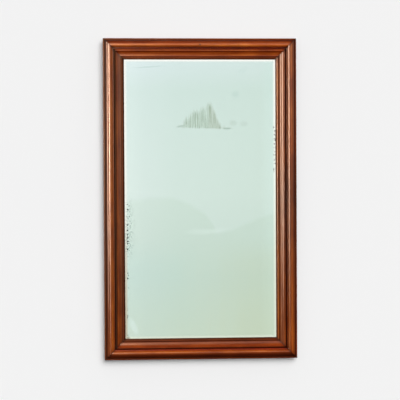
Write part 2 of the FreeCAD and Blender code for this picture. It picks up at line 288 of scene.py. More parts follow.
@dataclass(frozen=True)
class PolishedWalnut:
    """Old French-polished walnut: warm red-brown streaks under a glossy film, dark where wax gathers, and
    light and shade painted across its profile.

    Args:
        name: The finish's name.
        side: The side of the frame that the member lies on.
        outline: The frame that it belongs to.
        shift: Where along the plank the member was cut, so that no two show the same figure.
        hollows: Tints by share of the face's width: wax darkening the recesses, and painted shade and
            highlights across the profile.
        tone: Tints from the frame's foot (0) to its top (1), which differ by side: tone, with painted shade
            and a painted dark reflection.
        nail: Inset of an old nail hole at the middle of the member, or None.
        deep: Colour of the figure's dark streaks.
        middle: Colour between the dark and the light ones.
        light: Colour of its light streaks.
        mitre_fade: How far from the mitre its dark line has faded.
        bruise: Radius of the darkening at a nail hole: painted shade in the hole, fading out round it.
    """

    name: str
    side: Side
    outline: Outline
    shift: float
    hollows: Stops
    tone: Stops = UNTINTED
    nail: float | None = None
    deep: str = "#B04C10"
    middle: str = "#C86018"
    light: str = "#DC782A"
    mitre_fade: float = 20 * MM
    bruise: float = 3.6 * MM

    def material(self) -> bpy.types.Material:
        """Build the finish for one member.

        Returns:
            The material.
        """
        sheet = Sheet(self.name)
        add = sheet.add
        turn = (0, math.radians(self.side.value), 0)
        lift = (0, 0, self.outline.across(self.side))
        member = add("Mapping", {"Vector": sheet.place, "Rotation": turn, "Location": lift})
        start = (self.shift, self.shift * 0.37, self.shift * 1.7)
        broken = {"Detail": 5.0, "Roughness": 0.6, "Distortion": 0.4}
        streaks = sheet.grain(member, (220 * MM, 5 * MM, 5 * MM), start, **broken)
        clouds = sheet.grain(member, (120 * MM, 40 * MM, 40 * MM), start, Detail=3.0)
        # Pores are finer than this: they are drawn 1 mm wide so that they show
        pores = sheet.grain(member, (12 * MM, 1 * MM, 1 * MM), start, Detail=2.0)
        # Tints over the profile: wax in the recesses, and painted light and shade
        hollows = self.hollowed(sheet, member, clouds)
        colour = self.figured(sheet, streaks, clouds, pores)
        colour = add("Mix", {"Factor": 1.0, "A": colour, "B": hollows}, **TINTED)
        colour = self.jointed(sheet, member, colour)
        colour = self.aged(sheet, colour)
        if self.nail is not None:
            colour = self.bruised(sheet, member, colour)

        # The film is dull where the tints are dark: where wax has gathered, and where shade is painted in
        clear = add("RGBToBW", {"Color": hollows})
        dull = {"Value": clear, "From Min": 0.1, "From Max": 0.5, "To Min": 0.6, "To Max": 0.32}
        film = add("MapRange", dull)
        gloss = add("MapRange", {"Value": clear, "From Min": 0.2, "From Max": 0.5, "To Max": 0.9})
        height = add("Math", {0: streaks, 1: pores}, operation="SUBTRACT")
        relief = add("Bump", {"Height": height, "Strength": 0.03, "Distance": 0.2 * MM})
        return sheet.shade(
            Base_Color=colour,
            Roughness=film,
            Normal=relief,
            Specular_IOR_Level=0.25,
            Specular_Tint="#FFD2AC",
            Coat_Weight=gloss,
            Coat_Roughness=0.15,
        )

    def figured(self, sheet: Sheet, streaks: Source, clouds: Source, pores: Source) -> Source:
        """Colour the bare wood: streaks, broken by clouds of tone and ticked with pores.

        Args:
            sheet: The material.
            streaks: Pattern of the figure's long streaks.
            clouds: Pattern of soft clouds.
            pores: Pattern of short ticks.

        Returns:
            The colour.
        """
        add = sheet.add
        shades = ((0.30, self.deep), (0.47, self.middle), (0.60, self.light), (0.78, self.middle))
        figure = add("ValToRGB", {"Fac": streaks}, shades)
        tone = add("ValToRGB", {"Fac": clouds}, ((0.34, "#D6C6BC"), (0.50, "#EFE8E2"), (0.66, "#FFFFFF")))
        toned = add("Mix", {"Factor": 1.0, "A": figure, "B": tone}, **TINTED)
        ticks = add("ValToRGB", {"Fac": pores}, ((0.56, "#FFFFFF"), (0.74, "#8C7568")))
        return add("Mix", {"Factor": 0.8, "A": toned, "B": ticks}, **TINTED)

    def hollowed(self, sheet: Sheet, member: Source, clouds: Source) -> Source:
        """Tint the profile by inset, with an uneven edge: wax and dust in the recesses, and painted light
        and shade.

        Args:
            sheet: The material.
            member: The member's coordinates.
            clouds: Pattern that makes the edge uneven.

        Returns:
            The tint over the profile.
        """
        add = sheet.add
        inset = add("SeparateXYZ", {"Vector": member}).outputs["Z"]
        sway = 0.2 * MM
        edge = {"Value": clouds, "From Min": 0.3, "From Max": 0.7, "To Min": -sway, "To Max": sway}
        uneven = add("MapRange", edge)
        swayed = add("Math", {0: inset, 1: uneven}, operation="ADD")
        share = add("Math", {0: swayed, 1: self.outline.face_width}, operation="DIVIDE")
        return add("ValToRGB", {"Fac": share}, self.hollows)

    def jointed(self, sheet: Sheet, member: Source, colour: Source) -> Source:
        """Draw the mitre: a dark line where polish and dust have filled the joint.

        Args:
            sheet: The material.
            member: The member's coordinates.
            colour: The colour so far.

        Returns:
            The colour with the line.
        """
        add = sheet.add
        parts = add("SeparateXYZ", {"Vector": member})
        reach = add("Math", {0: parts.outputs["X"]}, operation="ABSOLUTE")
        far = add("Math", {0: reach, 1: parts.outputs["Z"]}, operation="ADD")
        tip = self.outline.along(self.side)
        away = add("MapRange", {"Value": far, "From Min": tip, "From Max": tip - self.mitre_fade})
        shades = ((0.0, "#2C1509"), (0.05, "#4A2A1A"), (0.10, "#CBBBB0"), (1.0, "#FFFFFF"))
        joint = add("ValToRGB", {"Fac": away}, shades)
        return add("Mix", {"Factor": 1.0, "A": colour, "B": joint}, **TINTED)

    def aged(self, sheet: Sheet, colour: Source) -> Source:
        """Change the tint up the member: tone, with painted shade and a painted dark reflection on some
        sides.

        Args:
            sheet: The material.
            colour: The colour so far.

        Returns:
            The colour with its tone.
        """
        add = sheet.add
        upwards = add("SeparateXYZ", {"Vector": sheet.place}).outputs["Z"]
        half = self.outline.height / 2
        rise = add("MapRange", {"Value": upwards, "From Min": -half, "From Max": half})
        # Painted shade and a painted dark reflection, by height
        tone = add("ValToRGB", {"Fac": rise}, self.tone)
        return add("Mix", {"Factor": 1.0, "A": colour, "B": tone}, **TINTED)

    def bruised(self, sheet: Sheet, member: Source, colour: Source) -> Source:
        """Darken the old nail hole and the wood round it: painted shade in the hole, fading outwards.

        Args:
            sheet: The material.
            member: The member's coordinates.
            colour: The colour so far.

        Returns:
            The colour with the dark ring.
        """
        add = sheet.add
        ring = {"Vector": member, "Location": (0, 0, self.nail), "Scale": (self.bruise, 1, self.bruise)}
        hole = add("Mapping", ring, vector_type="TEXTURE")
        away = add("VectorMath", {0: hole}, operation="LENGTH")
        # Painted shade in the hole, fading out round it
        dark = add("MapRange", {"Value": away, "From Min": 1.3, "From Max": 0.7, "To Max": 0.92})
        return add("Mix", {"Factor": dark, "A": colour, "B": "#1C0B04"}, **COVERED)


@dataclass(frozen=True)
class OldPine:
    """Sawn pine gone brown with age: growth rings, a few knots, and dust in the surface.

    Args:
        name: The finish's name.
        turn: Turn about Y, in degrees, that brings the grain to X.
        middle: Height of the plank's middle once it is turned: the rings stand widest there.
        shift: Where in the plank the piece was cut.
        early: Colour of the soft part of a ring, grown in spring.
        late: Colour of its hard part, grown in summer.
        stained: Outline whose outer edge is stained dark, or None.
        board: Middle height and half height of a back board, with dusty edges and rusty nails, or None.
        ring_spacing: Distance between rings, drawn twice too wide so that it shows.
        pith_depth: How far behind the face the tree's middle lay.
        pith_sway: How far to either side of the plank's middle it lay at most.
        lean: Largest angle, in degrees, that the plank was sawn at to the rings.
        taper: How fast the rings run out of the face along the plank.
        knot_spacing: Distance between knots, most of which are too small to see.
        nail_reach: Distance of the nails from the middle, across, and from the board's middle, up.
    """

    name: str
    turn: float
    middle: float
    shift: float
    early: str = "#C29A6B"
    late: str = "#A2764A"
    stained: Outline | None = None
    board: tuple[float, float] | None = None
    ring_spacing: float = 6 * MM
    pith_depth: float = 75 * MM
    pith_sway: float = 18 * MM
    lean: float = 35
    taper: float = 0.08
    knot_spacing: float = 260 * MM
    nail_reach: tuple[float, float] = (387 * MM, 65 * MM)

    def material(self) -> bpy.types.Material:
        """Build the finish for one piece.

        Returns:
            The material.
        """
        sheet = Sheet(self.name)
        add = sheet.add
        turned = add("Mapping", {"Vector": sheet.place, "Rotation": (0, math.radians(self.turn), 0)})
        start = (self.shift, 0, 0)
        fibre = sheet.grain(turned, (50 * MM, 1.6 * MM, 1.6 * MM), start, Detail=3.0)
        start = (self.shift, self.shift, 0)
        age = sheet.grain(turned, (800 * MM, 70 * MM, 70 * MM), start, Detail=5.0, Roughness=0.6)
        fibres = add("ValToRGB", {"Fac": fibre}, ((0.35, "#C6B6A6"), (0.6, "#FFFFFF")))
        browns = add("ValToRGB", {"Fac": age}, ((0.32, "#B09C86"), (0.5, "#DCCEBE"), (0.68, "#FFF8EE")))
        colour = self.ringed(sheet, turned)
        colour = add("Mix", {"Factor": 0.8, "A": colour, "B": fibres}, **TINTED)
        colour = add("Mix", {"Factor": 1.0, "A": colour, "B": browns}, **TINTED)
        colour = self.knotted(sheet, turned, colour)
        if self.stained:
            colour = self.edged(sheet, colour, age)
        if self.board:
            colour = self.dusted(sheet, colour, age)
        relief = add("Bump", {"Height": fibre, "Strength": 0.35, "Distance": 0.4 * MM})
        return sheet.shade(Base_Color=colour, Roughness=0.72, Normal=relief)

    def ringed(self, sheet: Sheet, turned: Source) -> Source:
        """Cut the plank through the tree's rings, which run nearly along it.

        Args:
            sheet: The material.
            turned: Coordinates with the grain on X.

        Returns:
            The colour of the rings.
        """
        # No two planks were sawn from the same place in the tree, or at the same lean
        aside = self.pith_sway * math.sin(3.7 * self.shift) - self.middle
        lean = math.radians(self.lean) * math.cos(2.3 * self.shift)
        sawn = {
            "Vector": turned,
            "Location": (self.shift, self.pith_depth, aside),
            "Rotation": (0, 0, lean),
            "Scale": (self.taper, 1, 1),
        }
        wavy = {
            "Vector": sheet.add("Mapping", sawn),
            "Scale": WAVE_SCALE / self.ring_spacing,
            "Distortion": 4.0,
            "Detail": 3.0,
            "Detail Scale": 0.3,
        }
        rings = sheet.add("TexWave", wavy, wave_type="RINGS", rings_direction="X")
        shades = ((0.0, self.early), (0.45, self.early), (0.85, self.late), (1.0, self.late))
        return sheet.add("ValToRGB", {"Fac": rings.outputs["Fac"]}, shades)

    def knotted(self, sheet: Sheet, turned: Source, colour: Source) -> Source:
        """Set a few knots in the wood.

        Args:
            sheet: The material.
            turned: Coordinates with the grain on X.
            colour: The colour so far.

        Returns:
            The colour with the knots.
        """
        add = sheet.add
        knots = add("TexVoronoi", {"Vector": turned, "Scale": 1 / self.knot_spacing, "Randomness": 1.0})
        chance = add("SeparateColor", {"Color": knots.outputs["Color"]})
        shrink = add("MapRange", {"Value": chance, "To Min": 0.8, "To Max": 6.0})
        away = add("Math", {0: knots.outputs["Distance"], 1: shrink}, operation="MULTIPLY")
        shades = (
            (0.0, "#8A5C3A"), (0.035, "#A8754C"),
            (0.05, "#5C3A22"), (0.06, "#A88664"), (0.09, "#FFFFFF"),
        )
        knot = add("ValToRGB", {"Fac": away}, shades)
        return add("Mix", {"Factor": 1.0, "A": colour, "B": knot}, **TINTED)

    def edged(self, sheet: Sheet, colour: Source, age: Source) -> Source:
        """Stain the frame's outer edge dark, with a run here and there over the back.

        Args:
            sheet: The material.
            colour: The colour so far.
            age: Pattern that makes the stain's edge wander.

        Returns:
            The colour with the stain.
        """
        add = sheet.add
        parts = add("SeparateXYZ", {"Vector": sheet.place})
        sideways = add("Math", {0: parts.outputs["X"]}, operation="ABSOLUTE")
        upwards = add("Math", {0: parts.outputs["Z"]}, operation="ABSOLUTE")
        beside = add("Math", {0: self.stained.width / 2, 1: sideways}, operation="SUBTRACT")
        above = add("Math", {0: self.stained.height / 2, 1: upwards}, operation="SUBTRACT")
        inset = add("Math", {0: beside, 1: above}, operation="MINIMUM")
        sway = {"Value": age, "From Min": 0.3, "From Max": 0.7, "To Min": -2 * MM, "To Max": 9 * MM}
        wander = add("MapRange", sway)
        uneven = add("Math", {0: inset, 1: wander}, operation="SUBTRACT")
        edge = {"Value": uneven, "From Min": 3.2 * MM, "From Max": 5 * MM, "To Min": 1.0, "To Max": 0.0}
        stain = add("MapRange", edge)
        return add("Mix", {"Factor": stain, "A": colour, "B": "#48210F"}, **COVERED)

    def dusted(self, sheet: Sheet, colour: Source, age: Source) -> Source:
        """Darken a board's edges with dust, and the wood round its nails with rust.

        Args:
            sheet: The material.
            colour: The colour so far.
            age: Pattern that breaks up the edges of the marks.

        Returns:
            The colour with the marks.
        """
        add = sheet.add
        middle, half = self.board
        parts = add("SeparateXYZ", {"Vector": sheet.place})
        rise = add("Math", {0: parts.outputs["Z"], 1: middle}, operation="SUBTRACT")
        rise = add("Math", {0: rise}, operation="ABSOLUTE")
        ragged = add("Math", {0: age, 1: 14 * MM, 2: rise}, operation="MULTIPLY_ADD")
        rim = {"Value": ragged, "From Min": half - 4 * MM, "From Max": half + 8 * MM, "To Max": 0.75}
        edge = add("MapRange", rim)
        colour = add("Mix", {"Factor": edge, "A": colour, "B": "#3E2C1D"}, **COVERED)
        reach = add("Math", {0: parts.outputs["X"]}, operation="ABSOLUTE")
        sideways = add("Math", {0: reach, 1: self.nail_reach[0]}, operation="SUBTRACT")
        upwards = add("Math", {0: rise, 1: self.nail_reach[1]}, operation="SUBTRACT")
        span = add("CombineXYZ", {"X": sideways, "Z": upwards})
        away = add("VectorMath", {0: span}, operation="LENGTH")
        rust = add("MapRange", {"Value": away, "From Min": 14 * MM, "From Max": 3 * MM, "To Max": 0.8})
        return add("Mix", {"Factor": rust, "A": colour, "B": "#3A2012"}, **COVERED)


@dataclass(frozen=True)
class OakPeg:
    """Riven oak, seen on its end grain: dark, with pores round its rings."""

    name: str = "riven oak"
    pore_spacing: float = 1.2 * MM

    def material(self) -> bpy.types.Material:
        """Build the finish.

        Returns:
            The material.
        """
        sheet = Sheet(self.name)
        fine = 1 / self.pore_spacing
        pores = sheet.add("TexNoise", {"Vector": sheet.place, "Scale": fine, "Detail": 2.0})
        browns = ((0.35, "#4A2E19"), (0.5, "#7A5230"), (0.7, "#946840"))
        colour = sheet.add("ValToRGB", {"Fac": pores}, browns)
        relief = sheet.add("Bump", {"Height": pores, "Strength": 0.4, "Distance": 0.3 * MM})
        return sheet.shade(Base_Color=colour, Roughness=0.65, Normal=relief)


@dataclass(frozen=True)
class CrownGlass:
    """Old plate glass: clear, with a faint green from its iron, and waves that bend what it shows."""

    name: str = "old plate glass"
    wave_length: float = 120 * MM

    def material(self) -> bpy.types.Material:
        """Build the finish.

        Returns:
            The material.
        """
        sheet = Sheet(self.name)
        wide = 1 / self.wave_length
        waves = sheet.add("TexNoise", {"Vector": sheet.place, "Scale": wide, "Detail": 1.0})
        relief = sheet.add("Bump", {"Height": waves, "Strength": 0.1, "Distance": 0.2 * MM})
        return sheet.shade(
            Base_Color="#FAFDFB", Roughness=0.0, IOR=1.52, Transmission_Weight=1.0, Normal=relief
        )


class AgedSilver:
    """A silver coat on glass that has aged: uneven tone with the room's reflection painted in, a torn
    patch, and black spots along its edges.
    """

    BEVEL_WIDTH = 28 * MM

    SMEARS = (
        (5, -158, 92, 19, 0, "#DFECE7", 0.22),
        (80, -152, 66, 15, 8, "#DFECE7", 0.16),
        (-326, -612, 54, 20, -66, "#E2F0EE", 0.36),
        (-96, 352, 25, 6, 12, "#9DB0A4", 0.4),
        (-242, 637, 100, 5, 4, "#B4CCC8", 0.32),
        (160, 366, 24, 18, 0, "#B4C6BA", 0.36),
        (212, 362, 26, 18, 0, "#B6C8BE", 0.32),
        (131, 340, 23, 7, 0, "#A3B8AC", 0.6),
        (171, 505, 26, 22, 0, "#B2CCC4", 0.26),
        (205, 620, 30, 14, 20, "#B8D0CA", 0.15),
        (350, 600, 70, 150, 0, "#C8DCD4", 0.42),
    )
    """Faint marks: place across and up, half length and width in mm, turn in degrees, tint, strength."""

    def __init__(self, half_width: float, half_height: float) -> None:
        """Start the coat on its plate.

        Args:
            half_width: Half the plate's width.
            half_height: Half the plate's height.
        """
        self.half_width = half_width
        self.half_height = half_height
        self.sheet = Sheet("aged silver")
        add = self.sheet.add
        parts = add("SeparateXYZ", {"Vector": self.sheet.place})
        self.x = parts.outputs["X"]
        self.z = parts.outputs["Z"]
        self.across = add("MapRange", {"Value": self.x, "From Min": -half_width, "From Max": half_width})
        self.up = add("MapRange", {"Value": self.z, "From Min": -half_height, "From Max": half_height})

    def material(self) -> bpy.types.Material:
        """Build the finish, one mark over another.

        Returns:
            The material.
        """
        # The silver's base tone carries a painted reflection of the room
        colour = self.foxed(self.hazed(self.toned()))
        colour, torn = self.torn(self.smeared(colour))
        colour, bare = self.spotted(self.mottled(self.rimmed(colour)))
        # Bare backing is no metal, and torn silver is a little duller than sound silver
        metal = self.sheet.add("Math", {0: 1.0, 1: bare}, operation="SUBTRACT")
        rough = self.sheet.add("Math", {0: torn, 1: 0.05, 2: 0.03}, operation="MULTIPLY_ADD")
        return self.sheet.shade(Base_Color=colour, Metallic=metal, Roughness=rough)

    def toned(self) -> Source:
        """Tone the silver up and across the plate, with the room's reflection painted in as that tone.

        Returns:
            The colour.
        """
        add = self.sheet.add
        upwards = (
            (0.04, "#D8E3D8"), (0.22, "#D6E4DE"), (0.52, "#DCEAE5"),
            (0.88, "#D7E7E3"), (0.98, "#DEEBEC"),
        )
        sideways = (
            (0.04, "#FEFDFD"), (0.15, "#F8F8F8"), (0.34, "#F3F5F3"),
            (0.88, "#EFF2EE"), (0.96, "#F3F7F4"),
        )
        # Painted reflection: the silver's tone changes up and across the plate as the room's reflection
        # does
        level = add("ValToRGB", {"Fac": self.up}, upwards)
        side = add("ValToRGB", {"Fac": self.across}, sideways)
        return add("Mix", {"Factor": 1.0, "A": level, "B": side}, **TINTED)

    def hazed(self, colour: Source) -> Source:
        """Lay the faint haze over the lower half, under a soft wavy edge.

        Args:
            colour: The colour so far.

        Returns:
            The colour with the haze.
        """
        add = self.sheet.add
        # The haze's edge, as shares of its rise over shares of the plate's width
        wave = (
            (0.02, 0.87), (0.16, 0.94), (0.31, 0.96), (0.42, 0.83), (0.53, 0.60),
            (0.58, 0.36), (0.60, 0.16), (0.70, 0.23), (0.87, 0.49), (1.0, 0.63),
        )
        edge = add("ValToRGB", {"Fac": self.across}, wave)
        line = add("MapRange", {"Value": edge, "To Min": -200 * MM, "To Max": 20 * MM})
        below = add("Math", {0: line, 1: self.z}, operation="SUBTRACT")
        soft = add("MapRange", {"Value": below, "From Min": -14 * MM, "From Max": 22 * MM}, **SOFTLY)
        return add("Mix", {"Factor": soft, "A": colour, "B": "#F9FBF8"}, **TINTED)

    def foxed(self, colour: Source) -> Source:
        """Turn the lower half bluer to the left and yellower to the right, in faint runs.

        Args:
            colour: The colour so far.

        Returns:
            The colour with the tint.
        """
        add = self.sheet.add
        runs = self.sheet.grain(self.sheet.place, (30 * MM, 1, 250 * MM), Detail=2.0)
        swayed = add("Math", {0: runs, 1: 0.3, 2: self.across}, operation="MULTIPLY_ADD")
        tints = ((0.16, "#F9FEFF"), (0.45, "#FCFFFF"), (0.70, "#FFFFFD"), (0.95, "#FFFDF7"))
        tint = add("ValToRGB", {"Fac": swayed}, tints)
        low = add("MapRange", {"Value": self.z, "From Min": -160 * MM, "From Max": -340 * MM}, **SOFTLY)
        return add("Mix", {"Factor": low, "A": colour, "B": tint}, **TINTED)

    def smeared(self, colour: Source) -> Source:
        """Lay the faint marks, each shaped like a lens.

        Args:
            colour: The colour so far.

        Returns:
            The colour with the marks.
        """
        add = self.sheet.add
        for x, z, half_length, half_width, turn, tint, strength in self.SMEARS:
            lens = {
                "Vector": self.sheet.place,
                "Location": (x * MM, 0, z * MM),
                "Rotation": (0, math.radians(-turn), 0),
                "Scale": (half_length * MM, 1, half_width * MM),
            }
            local = add("Mapping", lens, vector_type="TEXTURE")
            away = add("VectorMath", {0: local}, operation="LENGTH")
            fade = {"Value": away, "From Min": 1.1, "From Max": 0.3, "To Max": strength}
            share = add("MapRange", fade, **SOFTLY)
            colour = add("Mix", {"Factor": share, "A": colour, "B": tint}, **COVERED)
        return colour

    def torn(self, colour: Source) -> tuple[Source, Source]:
        """Lay the torn patch: a straight foot, a peaked top, and streaks that run down.

        Args:
            colour: The colour so far.

        Returns:
            The colour with the patch, and the patch's share.
        """
        add = self.sheet.add
        foot_height = 341 * MM
        # The patch's top, as shares of its height over shares of the plate's width
        peaks = (
            (0.345, 0.00), (0.36, 0.14), (0.39, 0.20), (0.403, 0.42), (0.44, 0.61), (0.466, 0.71),
            (0.49, 0.72), (0.517, 0.83), (0.556, 0.97), (0.574, 0.95), (0.593, 0.75), (0.618, 0.38),
            (0.64, 0.20), (0.67, 0.13), (0.70, 0.16), (0.72, 0.00),
        )
        top = add("ValToRGB", {"Fac": self.across}, peaks)
        height = add("MapRange", {"Value": top, "To Min": -12 * MM, "To Max": 132 * MM})
        streaks = self.sheet.grain(self.sheet.place, (5 * MM, 1, 120 * MM), Detail=3.0, Roughness=0.6)
        sway = {"Value": streaks, "From Min": 0.3, "From Max": 0.7, "To Min": 11 * MM, "To Max": -13 * MM}
        wander = add("MapRange", sway)
        above = add("Math", {0: self.z, 1: foot_height}, operation="SUBTRACT")
        tilted = add("Math", {0: self.x, 1: 0.03, 2: above}, operation="MULTIPLY_ADD")
        reach = add("Math", {0: height, 1: tilted}, operation="SUBTRACT")
        reach = add("Math", {0: reach, 1: wander}, operation="ADD")
        under = add("MapRange", {"Value": reach, "From Min": -8 * MM, "From Max": 30 * MM}, **SOFTLY)
        drips = add("Math", {0: wander, 1: 0.3, 2: tilted}, operation="MULTIPLY_ADD")
        foot = add("MapRange", {"Value": drips, "From Min": -4 * MM, "From Max": 6 * MM}, **SOFTLY)
        patch = add("Math", {0: under, 1: foot}, operation="MULTIPLY")

        # Green where the silver has thinned, with a beige cast at the right
        greens = ((0.34, "#C2C8BA"), (0.45, "#DADED4"), (0.54, "#EAEDE6"), (0.64, "#FAFBF8"))
        green = add("ValToRGB", {"Fac": streaks}, greens)
        beige = add("MapRange", {"Value": self.across, "From Min": 0.545, "From Max": 0.570, "To Max": 0.3})
        tone = add("Mix", {"Factor": beige, "A": green, "B": "#E0D8CE"}, **COVERED)
        return add("Mix", {"Factor": patch, "A": colour, "B": tone}, **TINTED), patch

    def rimmed(self, colour: Source) -> Source:
        """Paint the bevel's reflection into the silver under the bevel's outer part, lighter than the flat,
        with a brown cast at the lower left.

        Args:
            colour: The colour so far.

        Returns:
            The colour with the bright rim.
        """
        add = self.sheet.add
        wide = add("Math", {0: self.x}, operation="ABSOLUTE")
        tall = add("Math", {0: self.z}, operation="ABSOLUTE")
        side = add("Math", {0: wide, 1: self.half_width}, operation="SUBTRACT")
        end = add("Math", {0: tall, 1: self.half_height}, operation="SUBTRACT")
        edge = add("Math", {0: side, 1: end}, operation="MAXIMUM")
        start = -self.BEVEL_WIDTH
        rim = add("MapRange", {"Value": edge, "From Min": start, "From Max": start + 10 * MM})
        # Painted reflection of the bevel, lighter than the flat silver
        pale = ((0.0, "#DCE2D2"), (0.30, "#E6E8DA"), (0.60, "#F2F4EC"), (1.0, "#F8F5F0"))
        painted_bevel_reflection = add("ValToRGB", {"Fac": self.up}, pale)
        browns = ((0.04, "#BCB09C"), (0.30, "#D6CEC0"), (0.46, "#F4F2EA"), (1.0, "#F8F5F0"))
        brown = add("ValToRGB", {"Fac": self.up}, browns)
        left = add("MapRange", self.off_left(39 * MM, 29 * MM))
        cast = add("Mix", {"Factor": left, "A": painted_bevel_reflection, "B": brown}, **COVERED)
        return add("Mix", {"Factor": rim, "A": colour, "B": cast}, **COVERED)

    def off_left(self, none: float, full: float) -> Inputs:
        """What makes a Map Range rise between two distances from the plate's left edge."""
        return {"Value": self.x, "From Min": none - self.half_width, "From Max": full - self.half_width}

    def mottled(self, colour: Source) -> Source:
        """Lay the fine mottling beside the left edge's densest spots.

        Args:
            colour: The colour so far.

        Returns:
            The colour with the mottling.
        """
        add = self.sheet.add
        near = add("MapRange", self.off_left(75 * MM, 35 * MM), **SOFTLY)
        run = add("ValToRGB", {"Fac": self.up}, ((0.28, 0.0), (0.33, 1.0), (0.45, 0.8), (0.53, 0.0)))
        grit = {"Vector": self.sheet.place, "Scale": 1 / (7 * MM), "Detail": 3.0, "Roughness": 0.6}
        grain = add("TexNoise", grit)
        dark = add("MapRange", {"Value": grain, "From Min": 0.50, "From Max": 0.62, "To Max": 0.6})
        band = add("Math", {0: near, 1: run}, operation="MULTIPLY")
        share = add("Math", {0: band, 1: dark}, operation="MULTIPLY")
        return add("Mix", {"Factor": share, "A": colour, "B": "#8DA79B"}, **COVERED)

    def spotted(self, colour: Source) -> tuple[Source, Source]:
        """Lay the black spots where the silver has gone, in runs beside the plate's edges.

        Args:
            colour: The colour so far.

        Returns:
            The colour with the spots, and the share of bare backing.
        """
        add = self.sheet.add
        left_runs = (
            (0.02, 0.84), (0.05, 0.15), (0.07, 0.82), (0.15, 0.82), (0.17, 0.20), (0.19, 0.84),
            (0.27, 0.80), (0.30, 0.40), (0.33, 0.98), (0.44, 0.98), (0.485, 0.84), (0.52, 0.10),
        )
        left = add("ValToRGB", {"Fac": self.up}, left_runs)
        near_left = add("MapRange", self.off_left(49 * MM, 27 * MM))
        past_bevel = add("MapRange", self.off_left(17 * MM, 25 * MM))
        band = add("Math", {0: near_left, 1: past_bevel}, operation="MULTIPLY")
        left = add("Math", {0: band, 1: left}, operation="MULTIPLY")
        right_runs = ((0.58, 0.00), (0.60, 0.97), (0.75, 1.00), (0.77, 0.00))
        right = add("ValToRGB", {"Fac": self.up}, right_runs)
        reach = self.half_width - 29 * MM
        near_right = add("MapRange", {"Value": self.x, "From Min": reach, "From Max": reach + 5 * MM})
        right = add("Math", {0: near_right, 1: right}, operation="MULTIPLY")
        dense = add("Math", {0: left, 1: right}, operation="MAXIMUM")
        grit = {"Vector": self.sheet.place, "Scale": 1 / (9 * MM), "Detail": 3.0, "Roughness": 0.6}
        specks = add("TexNoise", grit)
        # The denser the run, the more of the specks are bare
        level = add("Math", {0: dense, 1: 0.27, 2: -0.80}, operation="MULTIPLY_ADD")
        over = add("Math", {0: specks, 1: level}, operation="ADD")
        bare = add("MapRange", {"Value": over, "From Min": 0.0, "From Max": 0.03})
        return add("Mix", {"Factor": bare, "A": colour, "B": "#1E2E2A"}, **COVERED), bare


@dataclass(frozen=True)
class OldIron:
    """Wrought iron gone black, with brown rust where it is rubbed or damp.

    Args:
        name: The finish's name.
        rust: How much of it is rusty, from 0 to 1.
        metal: Colour of the black skin.
        grit: Size of the rust's grain.
    """

    name: str
    rust: float = 0.4
    metal: str = "#3A3633"
    grit: float = 2 * MM

    def material(self) -> bpy.types.Material:
        """Build the finish.

        Returns:
            The material.
        """
        sheet = Sheet(self.name)
        add = sheet.add
        blotch = {"Vector": sheet.place, "Scale": 1 / (4 * self.grit), "Detail": 6.0, "Roughness": 0.7}
        patches = add("TexNoise", blotch)
        spread = 0.3 * self.rust
        rusty = add("MapRange", {"Value": patches, "From Min": 0.62 - spread, "From Max": 0.72 - spread})
        grain = add("TexNoise", {"Vector": sheet.place, "Scale": 1 / self.grit, "Detail": 4.0})
        brown = add("ValToRGB", {"Fac": grain}, ((0.35, "#4A2412"), (0.55, "#7A4522"), (0.7, "#96602F")))
        colour = add("Mix", {"Factor": rusty, "A": self.metal, "B": brown}, **COVERED)
        bare = add("Math", {0: 1.0, 1: rusty}, operation="SUBTRACT")
        rough = add("MapRange", {"Value": rusty, "To Min": 0.42, "To Max": 0.85})
        relief = add("Bump", {"Height": grain, "Strength": 0.4, "Distance": 0.2 * MM})
        return sheet.shade(Base_Color=colour, Metallic=bare, Roughness=rough, Normal=relief)


def as_piece(
    mesh: bmesh.types.BMesh, name: str, finish: bpy.types.Material, slot: str, body: str, *nodes: str
) -> bpy.types.Object:
    """Turn a finished bmesh into a piece of the mirror.

    Args:
        mesh: The mesh, in its final place; it is freed.
        name: The piece's name.
        finish: Its material.
        slot: The record's material slot that it takes its finish from; not used.
        body: The CAD body that it moves with.
        *nodes: The CAD nodes that it stands for.

    Returns:
        The new object.
    """
    bmesh.ops.remove_doubles(mesh, verts=mesh.verts, dist=ONE_POINT)
    bmesh.ops.recalc_face_normals(mesh, faces=mesh.faces)
    data = bpy.data.meshes.new(name)
    mesh.to_mesh(data)
    mesh.free()
    smooth_flats(data)
    data.materials.append(finish)
    piece = bpy.data.objects.new(name, data)
    bpy.context.scene.collection.objects.link(piece)
    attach(piece, body)
    if nodes:
        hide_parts(*nodes)
    LOG.info("%s: %d faces on body %s", name, len(data.polygons), body)
    return piece


def smooth_flats(data: bpy.types.Mesh) -> None:
    """Shade a mesh smooth, except across its corners.

    Args:
        data: The mesh.
    """
    mesh = bmesh.new()
    mesh.from_mesh(data)
    for face in mesh.faces:
        face.smooth = True
    for edge in mesh.edges:
        edge.smooth = len(edge.link_faces) == 2 and edge.calc_face_angle(0) < SMOOTH_BELOW
    mesh.to_mesh(data)
    mesh.free()


def dress(node: bpy.types.Object, finish: bpy.types.Material) -> None:
    """Give a CAD node its finish.

    Args:
        node: The node.
        finish: Its material.
    """
    node.data.materials.clear()
    node.data.materials.append(finish)
    LOG.info("%s: dressed in %s", node.name, finish.name)


def only(kind: type[Part], geometry: list[Part]) -> list[Part]:
    """The vertices, edges or faces among what an operation made."""
    return [g for g in geometry if isinstance(g, kind)]


def round_off(
    mesh: bmesh.types.BMesh, parts: list[Part], width: float, segments: int, affect: str = "VERTICES"
) -> None:
    """Round off corners or edges.

    Args:
        mesh: The mesh.
        parts: Its vertices or edges that are rounded off.
        width: How far back from each.
        segments: How many flats each round is drawn with.
        affect: VERTICES or EDGES.
    """
    bmesh.ops.bevel(
        mesh,
        geom=parts,
        offset=width,
        offset_type="OFFSET",
        segments=segments,
        profile=0.5,
        affect=affect,
        material=-1,
        clamp_overlap=True,
    )


